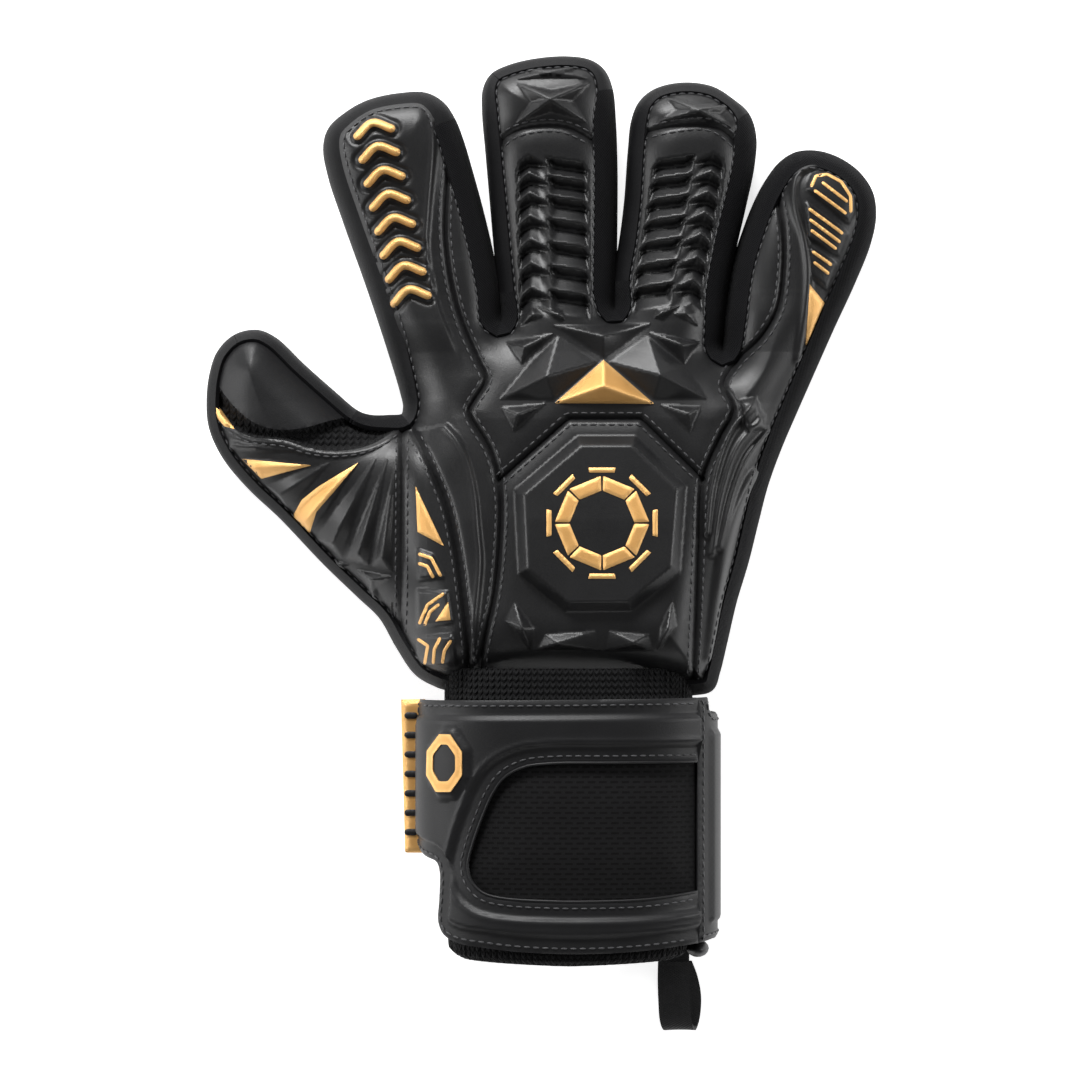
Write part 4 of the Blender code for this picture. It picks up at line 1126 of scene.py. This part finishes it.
LITTLE_LINES = (
    ((70.6, 99.8), (72.0, 102.8), (75.4, 103.3), (79.6, 101.0), (82.3, 96.6), (82.3, 92.2)),
    ((71.6, 98.2), (80.6, 91.6)), ((74.0, 100.6), (81.0, 95.2)),
    ((70.0, 92.6), (79.6, 85.6)), ((70.2, 89.4), (78.8, 83.0)), ((70.6, 86.2), (77.6, 81.0)),
    ((71.0, 79.8), (76.2, 76.2)), ((71.4, 76.6), (75.4, 73.6)),
)
LINE_WIDTH = 0.95
LITTLE_TAIL = ((69.9, 70.2), (74.7, 64.6), (68.6, 48.8))
MEDAL_RINGS = ((8.9, 13.0, 0.0, 0.94), (14.9, 16.4, 0.5, 0.62))    # inner, outer, shift, filled share
MEDAL_SIDES = 8


def medal_bars():
    """Two plain broken octagons of gold bars round the middle of the octagon pad."""
    bars = []
    for inner, outer, shift, filled in MEDAL_RINGS:
        for side in range(MEDAL_SIDES):
            middle = 2 * math.pi * (side + 0.5 + shift) / MEDAL_SIDES
            half = math.pi / MEDAL_SIDES * filled
            corners = []
            for radius, turns in ((inner, (-half, half)), (outer, (half, -half))):
                reach = radius / math.cos(half)
                corners += [(OCTAGON_CENTRE[0] + reach * math.cos(middle + turn),
                             OCTAGON_CENTRE[1] + reach * math.sin(middle + turn)) for turn in turns]
            bars.append(np.array(corners))
    return bars


def gold_lines(lines):
    """The borders of thin strokes with crisp bends."""
    return [ribbon(resample(line, 0.45), LINE_WIDTH) for line in lines]


def build_gold():
    """Every gold print and moulding on the back, one piece for each group."""
    join_strokes("gold_medal", medal_bars(), "gold", "hand", lift=0.3, crown=0.15)
    chevrons = [ribbon(line, CHEVRON_WIDTH) for line in finger_chevrons()]
    for part in ("index_tip", "index_base"):
        mine = [border for border in chevrons if part_at(border.mean(axis=0)[None])[0] == part]
        join_strokes(f"gold_chevrons_{part}", mine, "gold", part, lift=0.4, crown=0.5)
    drape("gold_peak", np.array(KNUCKLE_FACETS[GOLD_FACET][0]), "gold", "hand", lift=0.3, spacing=0.6)
    strokes = [np.array(TRIM_FACET), np.array(TRIM_QUARTER)] + gold_lines(TRIM_LINES)
    join_strokes("gold_trim", strokes, "gold", "thumb_root", lift=0.3, crown=0.3)
    for number, ray in enumerate(THUMB_RAYS):
        middle = np.mean(ray, axis=0)[None]
        drape(f"gold_ray_{number + 1}", np.array(ray), "gold", part_at(middle)[0], lift=RAY_LIFTS[number])
    join_strokes("gold_little_tip", gold_lines(LITTLE_LINES), "gold", "little_tip", lift=0.3, crown=0.25)
    drape("gold_little_tail", np.array(LITTLE_TAIL), "gold", "little_base", lift=0.4, crown=0.9)


build_gold()

# ------------------------------------------------------------------------- wristband, strap and loop

WRIST_X, WRIST_Z = -2.0, 26.5
WRIST_HALF_X, WRIST_HALF_Z = 38.3, 20.2
WRIST_SHAPE = 2.5
STRAP_HINGE = 34.0
WRAP_ENDS = (141.0, 171.0)     # degrees from +X, under the wrist: its narrow end and its wide one
GRIP_ENDS = (132.0, 170.0)     # the same for the patches of hook and loop
STRAP_LAYER = 6.0
MESH_LAYER = 5.0
STRAP_OUTLINE = (
    (36.2, -52.6), (-46.2, -53.4), (-46.5, -70), (-46.4, -86), (-46.2, -98.2), (-44.4, -99.8),
    (-41.2, -101.2), (-40.2, -104), (-40.3, -112), (-40.6, -119), (-39, -122.6), (-34.8, -124.9),
    (-27, -126.1), (-16.5, -127.2), (1.5, -127.8), (19.5, -127.0), (36.2, -125.2),
)
WINDOW = (
    (36.2, -71.7), (12, -71.8), (-8, -72.0), (-15, -73.0), (-20.6, -76.0), (-24.2, -81), (-27.4, -88.5),
    (-30, -96), (-31.3, -102), (-30.2, -106.4), (-27, -109.6), (-22, -111), (-8, -111.9), (6, -112.0),
    (22, -111.4), (36.2, -109.6),
)
BADGE = ((-37.8, -60.9), (-34, -60.9), (-29.8, -67.4), (-29.8, -76.4), (-33.8, -82.6), (-39, -82.8),
         (-42.4, -76.6), (-42.2, -67.4))
BADGE_CENTRE = (-36.2, -71.6)
LINING_END_X = 33.4
TAB = ((-52, -53.6), (-44.6, -53.5), (-44.6, -99.4), (-50.8, -99.4))
TAB_Z = 27.4
TAB_BARS = (-58.4, -64.2, -70, -75.8, -81.6, -87.4, -93.2)
CUFF_TOP_Y = -44.0
CUFF_END = ((-180, -128.6), (-120, -130), (-60, -129), (0, -129.4), (35, -130.8), (90, -132.2),
            (150, -130.6), (180, -128.6))          # degrees round the wrist, and how far down the hem is


def wrist_ring(distance):
    """(degrees, arc length) round the wrist, from straight up, towards +X and under the wrist."""
    degrees = np.linspace(200, -200, 1601)
    spots = wrist_point(degrees, np.full(len(degrees), distance), np.zeros(len(degrees)))
    arc = np.concatenate([[0], np.cumsum(np.linalg.norm(np.diff(spots, axis=0), axis=1))])
    arc -= np.interp(-90, -degrees, arc)
    return degrees, arc


def wrist_point(degrees, distance, y):
    """Points at angles round the wrist and distances outside the wristband."""
    turn = np.radians(degrees)
    power = 2 / WRIST_SHAPE
    cosine, sine = np.cos(turn), np.sin(turn)
    x = (WRIST_HALF_X + distance) * np.sign(cosine) * np.abs(cosine) ** power
    z = (WRIST_HALF_Z + distance) * np.sign(sine) * np.abs(sine) ** power
    return np.column_stack([WRIST_X + x, y, WRIST_Z + z])


ring_degrees, ring_arc = wrist_ring(STRAP_LAYER)


def arc_at(degrees):
    """The arc length at an angle round the wrist."""
    return np.interp(-np.asarray(degrees), -ring_degrees, ring_arc)


def unroll(line):
    """A line seen from above, in (arc length, y) round the strap."""
    line = np.asarray(line, float)
    share = np.clip((line[:, 0] - WRIST_X) / (WRIST_HALF_X + STRAP_LAYER), -1, 1)
    degrees = np.degrees(np.arccos(np.sign(share) * np.abs(share) ** (WRIST_SHAPE / 2)))
    return np.column_stack([arc_at(degrees), line[:, 1]])


def roll(points, distance):
    """(arc length, y) back on to the wrist, at these distances outside the wristband."""
    degrees = np.interp(points[:, 0], ring_arc, ring_degrees)
    return wrist_point(degrees, distance, points[:, 1])


def wrist_sheet(name, border, spacing, distance, material, body, thickness, hole=None, lines=()):
    """A patch that follows the wrist: distance gives its outer face at (arc length, y) points."""
    kept_lines = list(lines) + ([closed(hole)] if hole is not None else [])
    points, faces = triangulate(border, spacing, kept_lines)
    if hole is not None:
        points, faces = pick(points, faces, ~inside(points[faces].mean(axis=1), hole))
    return build(name, roll(points, distance(points)), faces, material, body, thickness, points)


def wrist_stitches(name, lines, body, distance):
    """Rows of stitches on the wrist, along lines in (arc length, y)."""
    starts, ends = stitch_ends(lines)
    low = roll(starts, distance(starts) + STITCH_LIFT)
    high = roll(ends, distance(ends) + STITCH_LIFT)
    along = unit(high - low)
    up = upright(roll(starts, distance(starts) + STITCH_LIFT + 1) - low, along)
    points, faces = thread((low + high) / 2, along, up, STITCH_LENGTH, STITCH_RADIUS)
    build(name, points, faces, "thread", body)


def offset_closed(line, distance):
    """A closed line moved inwards, or outwards where the distance is negative."""
    return line + normals_of(line, True) * distance * (-1 if signed_area(line) > 0 else 1)


def badge_ring(share):
    """The badge's outline at this share of its size, in (arc length, y)."""
    centre = np.array(BADGE_CENTRE)
    return unroll(resample(closed(centre + (np.array(BADGE) - centre) * share), 0.6)[:-1])


def strap_border():
    """The strap's outline without the end that hinges, in (arc length, y)."""
    return unroll(np.vstack([resample(STRAP_OUTLINE[:2], 1), curve(STRAP_OUTLINE[1:], 0.8)[1:]]))


def build_strap():
    """The closing strap: a moulded frame, its mesh window and the badge."""
    open_border, open_window = strap_border(), unroll(curve(WINDOW, 0.7))
    border = np.vstack([open_border, unroll(resample([STRAP_OUTLINE[-1], STRAP_OUTLINE[0]], 0.8)[1:-1])])
    window = np.vstack([open_window, unroll(resample([WINDOW[-1], WINDOW[0]], 0.7)[1:-1])])
    hinge = unroll(WINDOW[:1])[0, 0]
    badge = unroll(resample(closed(np.array(BADGE)), 0.7)[:-1])
    badge_centre = unroll([BADGE_CENTRE])[0]

    def face(points):
        from_window = distance_to(points, open_window)
        from_edge = distance_to(points, open_border)
        moulding = smooth((from_window - 5.0) / 1.5) * smooth((from_edge - 4.6) / 1.2)
        lip = np.exp(-((from_window - 6.4) / 0.8) ** 2) * smooth((from_edge - 4.6) / 1.2)
        rounded = 0.5 * smooth(from_edge / 0.9) + 0.4 * smooth(from_window / 0.8)
        socket = plateau(points, badge, badge_centre, 1.4, 1.2)
        return STRAP_LAYER - 0.4 + rounded + 1.3 * moulding + 0.35 * lip + socket

    def mesh_face(points):
        return MESH_LAYER - 0.2 + 1.1 * smooth(distance_to(points, closed(window)) / 14)

    def short_of_hinge(line, gap):
        return split_jumps(line[line[:, 0] < hinge - gap])

    frame_border = np.vstack([open_border, open_window[::-1]])
    shell = wrist_sheet("strap_shell", frame_border, 0.9, face, "latex", "strap", 2.6, None, [badge])
    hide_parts("strap_frame", "strap_badge")
    window_border = offset_closed(window, -1.2)
    window_border[:, 0] = np.minimum(window_border[:, 0], hinge + 0.2)
    net = wrist_sheet("strap_window", window_border, 1.0, mesh_face, "mesh", "strap", 1.2)
    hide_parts("strap_mesh")
    wrist_stitches("strap_stitches_edge", short_of_hinge(offset_closed(border, 1.7), 2.4), "strap", face)
    wrist_stitches("strap_stitches_window", short_of_hinge(offset_closed(window, -2.3), 1.0), "strap", face)
    piping = short_of_hinge(offset_closed(window, -0.3), 0.4)
    wrist_tube("strap_piping", piping, 0.42, lambda spots: face(spots) + 0.1, "latex", "strap")
    wrist_sheet("gold_badge", badge_ring(0.78), 0.6, lambda spots: face(spots) + 0.35, "gold", "strap", 0.6,
                badge_ring(0.5))


def wrist_tube(name, lines, radius, distance, material, body):
    """Round cord sewn on to the wrist, along lines in (arc length, y)."""
    sides = 8
    points, faces = [], []
    for line in lines:
        even = resample(line, 0.9)
        centres = roll(even, distance(even))
        way = unit(np.gradient(centres, axis=0))
        up = upright(roll(even, distance(even) + 1) - centres, way)
        first, last = len(points), len(points) + (len(centres) - 1) * sides
        for centre, top, flank in zip(centres, up, np.cross(way, up)):
            for k in range(sides):
                turn = 2 * math.pi * k / sides
                points.append(centre + radius * (top * math.cos(turn) + flank * math.sin(turn)))
        skin = turned(grid_faces(len(centres), sides, True))
        faces += [tuple(first + k for k in face) for face in skin]
        faces.append(tuple(first + k for k in range(sides)))
        faces.append(tuple(last + k for k in reversed(range(sides))))
    build(name, np.array(points), faces, material, body)


def grip_border():
    """The patch of hook and loop that keeps the strap closed, in (arc length, y)."""
    near, far = arc_at(GRIP_ENDS)
    return resample(closed(np.array([(near, -57.4), (far, -57.4), (far, -97), (near, -97)])), 0.9)[:-1]


def build_closure():
    """What is under the strap: its lining, and the hook and loop patches that hold it closed."""
    border = resample(closed(offset_closed(strap_border(), 1.2)), 1.0)[:-1]
    border[:, 0] = np.minimum(border[:, 0], unroll([(LINING_END_X, 0)])[0, 0])
    for name, edge, spacing, level, material, body, thickness, node in (
            ("strap_lining", border, 1.2, 3.4, "textile", "strap", 0.8, "strap_band"),
            ("strap_hooks", grip_border(), 1.0, 2.4, "plush", "strap", 0.9, "hook_patch"),
            ("cuff_loops", grip_border(), 1.0, 1.2, "plush", "hand", 0.9, "loop_patch")):
        patch = wrist_sheet(name, edge, spacing, lambda spots: np.full(len(spots), level), material, body,
                            thickness)
        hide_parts(node)


def build_tab():
    """The gold grip on the strap's free end, with plain dark bars moulded on it."""
    border = resample(closed(np.array(TAB)), 0.8)[:-1]
    points, faces = triangulate(border, 1.0)
    near = distance_to(points, closed(border))
    height = TAB_Z + 0.9 * smooth(near / 0.9)
    tab = build("gold_tab", np.column_stack([points, height]), faces, "gold", "strap", 2.4)
    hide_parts("pull_tab")
    pieces, all_faces, count = [], [], 0
    for level in TAB_BARS:
        bar = ribbon(resample([(-50.0, level), (-48.0, level)], 0.4), 2.0)
        points, faces = triangulate(resample(closed(bar), 0.4)[:-1], 0.5)
        near = distance_to(points, closed(bar))
        pieces.append(np.column_stack([points, TAB_Z + 0.9 + 0.5 * smooth(0.2 + near / 0.5)]))
        all_faces.append(faces + count)
        count += len(points)
    build("tab_bars", np.vstack(pieces), np.vstack(all_faces), "latex", "strap", 0.5)


def build_wrap():
    """The part of the strap that is sewn to the wrist, from the hinge round under the wrist."""
    start = arc_at(STRAP_HINGE - 0.6)
    end, far_end = arc_at([-degrees for degrees in WRAP_ENDS])
    low, high = -125.2, -52.6
    corners = [(start, high), (start + 5, high + 0.1), (start + 6, -56.2), (start + 8, -57.6),
               (far_end, -56), (far_end, -99.5), (end, -103), (end, -122.5), (start + 8, -124.4),
               (start, low)]
    border = resample(closed(np.array(corners)), 0.9)[:-1]

    def face(points):
        from_edge = distance_to(points, closed(border))
        return STRAP_LAYER - 0.3 + 0.6 * smooth(from_edge / 1.0) + 0.9 * smooth((from_edge - 4.8) / 1.4)

    wrap = wrist_sheet("strap_wrap_shell", border, 1.1, face, "latex", "hand", 4.6)
    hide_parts("strap_wrap")
    wrist_stitches("wrap_stitches", [closed(offset_closed(border, 1.8))], "hand", face)


def build_cuff():
    """The knitted wristband: a soft tube with a rolled lower hem."""
    columns, rows = 160, 60
    points, cloth = [], []
    around = np.linspace(-180, 180, columns, endpoint=False)
    lengths, ends = arc_at(around), table(CUFF_END, around)
    for share in np.linspace(0, 1, rows):
        level = CUFF_TOP_Y + (ends - CUFF_TOP_Y) * share
        from_end = level - ends
        taper = -1.4 - 1.2 * smooth((share - 0.75) / 0.25)
        roll_in = -1.8 * (1 - smooth(from_end / 2.2)) ** 2
        ripple = 0.22 * np.sin(around / 360 * 2 * math.pi * 62)
        points.append(wrist_point(around, taper + roll_in + ripple, level))
        cloth.append(np.column_stack([lengths, level]))
    faces = grid_faces(rows, columns, True)
    cuff = build("knit_cuff", np.vstack(points), faces, "knit", "hand", 2.0, np.vstack(cloth))
    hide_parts("wristband")


LOOP_HALF = 4.7
LOOP_CENTRE_X = 30.0
LOOP_TOP_Y = -133.3
LOOP_ROUTE = (                 # y below the top of the loop, how far to the right, and z
    (-0.4, 0, 6.6), (-6, -0.1, 6.9), (-12, 0.1, 6.8), (-17.4, 0.5, 6.4), (-19.6, 1.2, 5.2),
    (-20.1, 1.9, 3.9), (-19.5, 2.7, 2.4), (-17, 3.4, 1.5), (-11, 3.7, 1.3), (-5, 2.6, 1.4), (-0.4, 0.9, 1.6),
)
STAY_HEIGHTS = ((-134.4, 4.7), (-131, 5.2), (-124, 7.0), (-119, 7.2))
NUB_CENTRE = (36.6, -128.0, 25.5)
NUB_HALF = (3.4, 2.6, 9)


def build_loop():
    """A strip of webbing folded back on itself, to pull the glove on with."""
    step = 0.7
    spine = curve(np.array(LOOP_ROUTE), step)
    width = np.linspace(-LOOP_HALF, LOOP_HALF, 14)
    points, cloth = [], []
    for number, ((y, shift, z), way) in enumerate(zip(spine, np.gradient(spine, axis=0))):
        run_y, _, run_z = way / np.hypot(way[0], way[2])
        for across in width:
            cup = 0.35 * (across / LOOP_HALF) ** 2
            points.append((LOOP_CENTRE_X + shift + across, LOOP_TOP_Y + y + cup * run_z * 0.5,
                           z - cup * abs(run_y)))
            cloth.append((across, step * number))
    faces = grid_faces(len(spine), len(width))
    loop = build("webbing_loop", points, faces, "webbing", "pull_loop", 1.1, cloth)
    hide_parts("pull_loop")


def build_stay():
    """The sewn-down end of the pull loop."""
    rows, columns = 16, 10
    low, high = STAY_HEIGHTS[0][0], STAY_HEIGHTS[-1][0]
    flat = [(x, y) for y in np.linspace(high, low, rows) for x in np.linspace(-LOOP_HALF, LOOP_HALF, columns)]
    points = [(LOOP_CENTRE_X + x, y, table(STAY_HEIGHTS, y)) for x, y in flat]
    stay = build("loop_stay", points, turned(grid_faces(rows, columns)), "webbing", "hand", 1.4, flat)
    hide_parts("loop_anchor")


def build_nub():
    """The round end of the padding beside the pull loop."""
    rings, columns = 9, 16
    ball = [(math.sin(lean) * math.cos(turn), -math.cos(lean), math.sin(lean) * math.sin(turn))
            for lean in np.linspace(0, math.pi, rings)
            for turn in np.linspace(0, 2 * math.pi, columns, endpoint=False)]
    points = np.array(NUB_CENTRE) + np.array(NUB_HALF) * np.array(ball)
    nub = build("wrap_end_pad", points, turned(grid_faces(rings, columns, True)), "latex", "hand")


build_strap()
build_closure()
build_tab()
build_wrap()
build_cuff()
build_loop()
build_stay()
build_nub()

# ------------------------------------------------------------------------------- stage and lighting

VIEW_CENTRE = (-10.5, -6.0, 20.0)
VIEW_WIDTH = 324.0
LENS = 180.0
SENSOR = 36.0


def glow(name, place, size, power, aim=(0, 0, 0.02)):
    """A soft square light that faces the glove."""
    light = bpy.data.lights.new(name, "AREA")
    light.shape = "RECTANGLE"
    light.size, light.size_y = size
    light.energy = power
    lamp = bpy.data.objects.new(name, light)
    lamp.location = place
    lamp.rotation_euler = (Vector(aim) - Vector(place)).to_track_quat("-Z", "Y").to_euler()
    bpy.context.scene.collection.objects.link(lamp)


def build_stage():
    """A plain pale floor, soft light all round and a camera straight above."""
    scene = bpy.context.scene
    floor_mesh = bpy.data.meshes.new("floor")
    reach = 6.0
    level = -1.6 * MM
    floor_mesh.from_pydata([(-reach, -reach, level), (reach, -reach, level), (reach, reach, level),
                            (-reach, reach, level)], [], [(0, 1, 2, 3)])
    floor = bpy.data.objects.new("floor", floor_mesh)
    scene.collection.objects.link(floor)
    paper = bpy.data.materials.new("paper")
    paper.use_nodes = True
    shader = paper.node_tree.nodes["Principled BSDF"]
    shader.inputs["Base Color"].default_value = (0.92, 0.92, 0.92, 1)
    shader.inputs["Roughness"].default_value = 0.9
    shader.inputs["Emission Color"].default_value = (1, 1, 1, 1)
    shader.inputs["Emission Strength"].default_value = 0.75
    floor_mesh.materials.append(paper)
    world = bpy.data.worlds.new("studio")
    world.use_nodes = True
    world.node_tree.nodes["Background"].inputs["Color"].default_value = (1, 1, 1, 1)
    world.node_tree.nodes["Background"].inputs["Strength"].default_value = 0.18
    scene.world = world
    scene.view_settings.view_transform = "Standard"
    glow("key", (-0.5, 2.0, 1.05), (1.2, 0.5), 72)
    glow("right", (2.0, 0.3, 0.8), (0.5, 1.2), 20)
    glow("left", (-2.0, 0.2, 0.8), (0.5, 1.2), 20)
    glow("low", (0.2, -2.0, 0.9), (1.2, 0.4), 4)
    camera = bpy.data.cameras.new("camera")
    camera.lens = LENS
    camera.sensor_width = SENSOR
    camera.clip_start = 0.01
    eye = bpy.data.objects.new("camera", camera)
    distance = VIEW_WIDTH * LENS / SENSOR
    eye.location = (VIEW_CENTRE[0] * MM, VIEW_CENTRE[1] * MM, (VIEW_CENTRE[2] + distance) * MM)
    scene.collection.objects.link(eye)
    scene.camera = eye


build_stage()
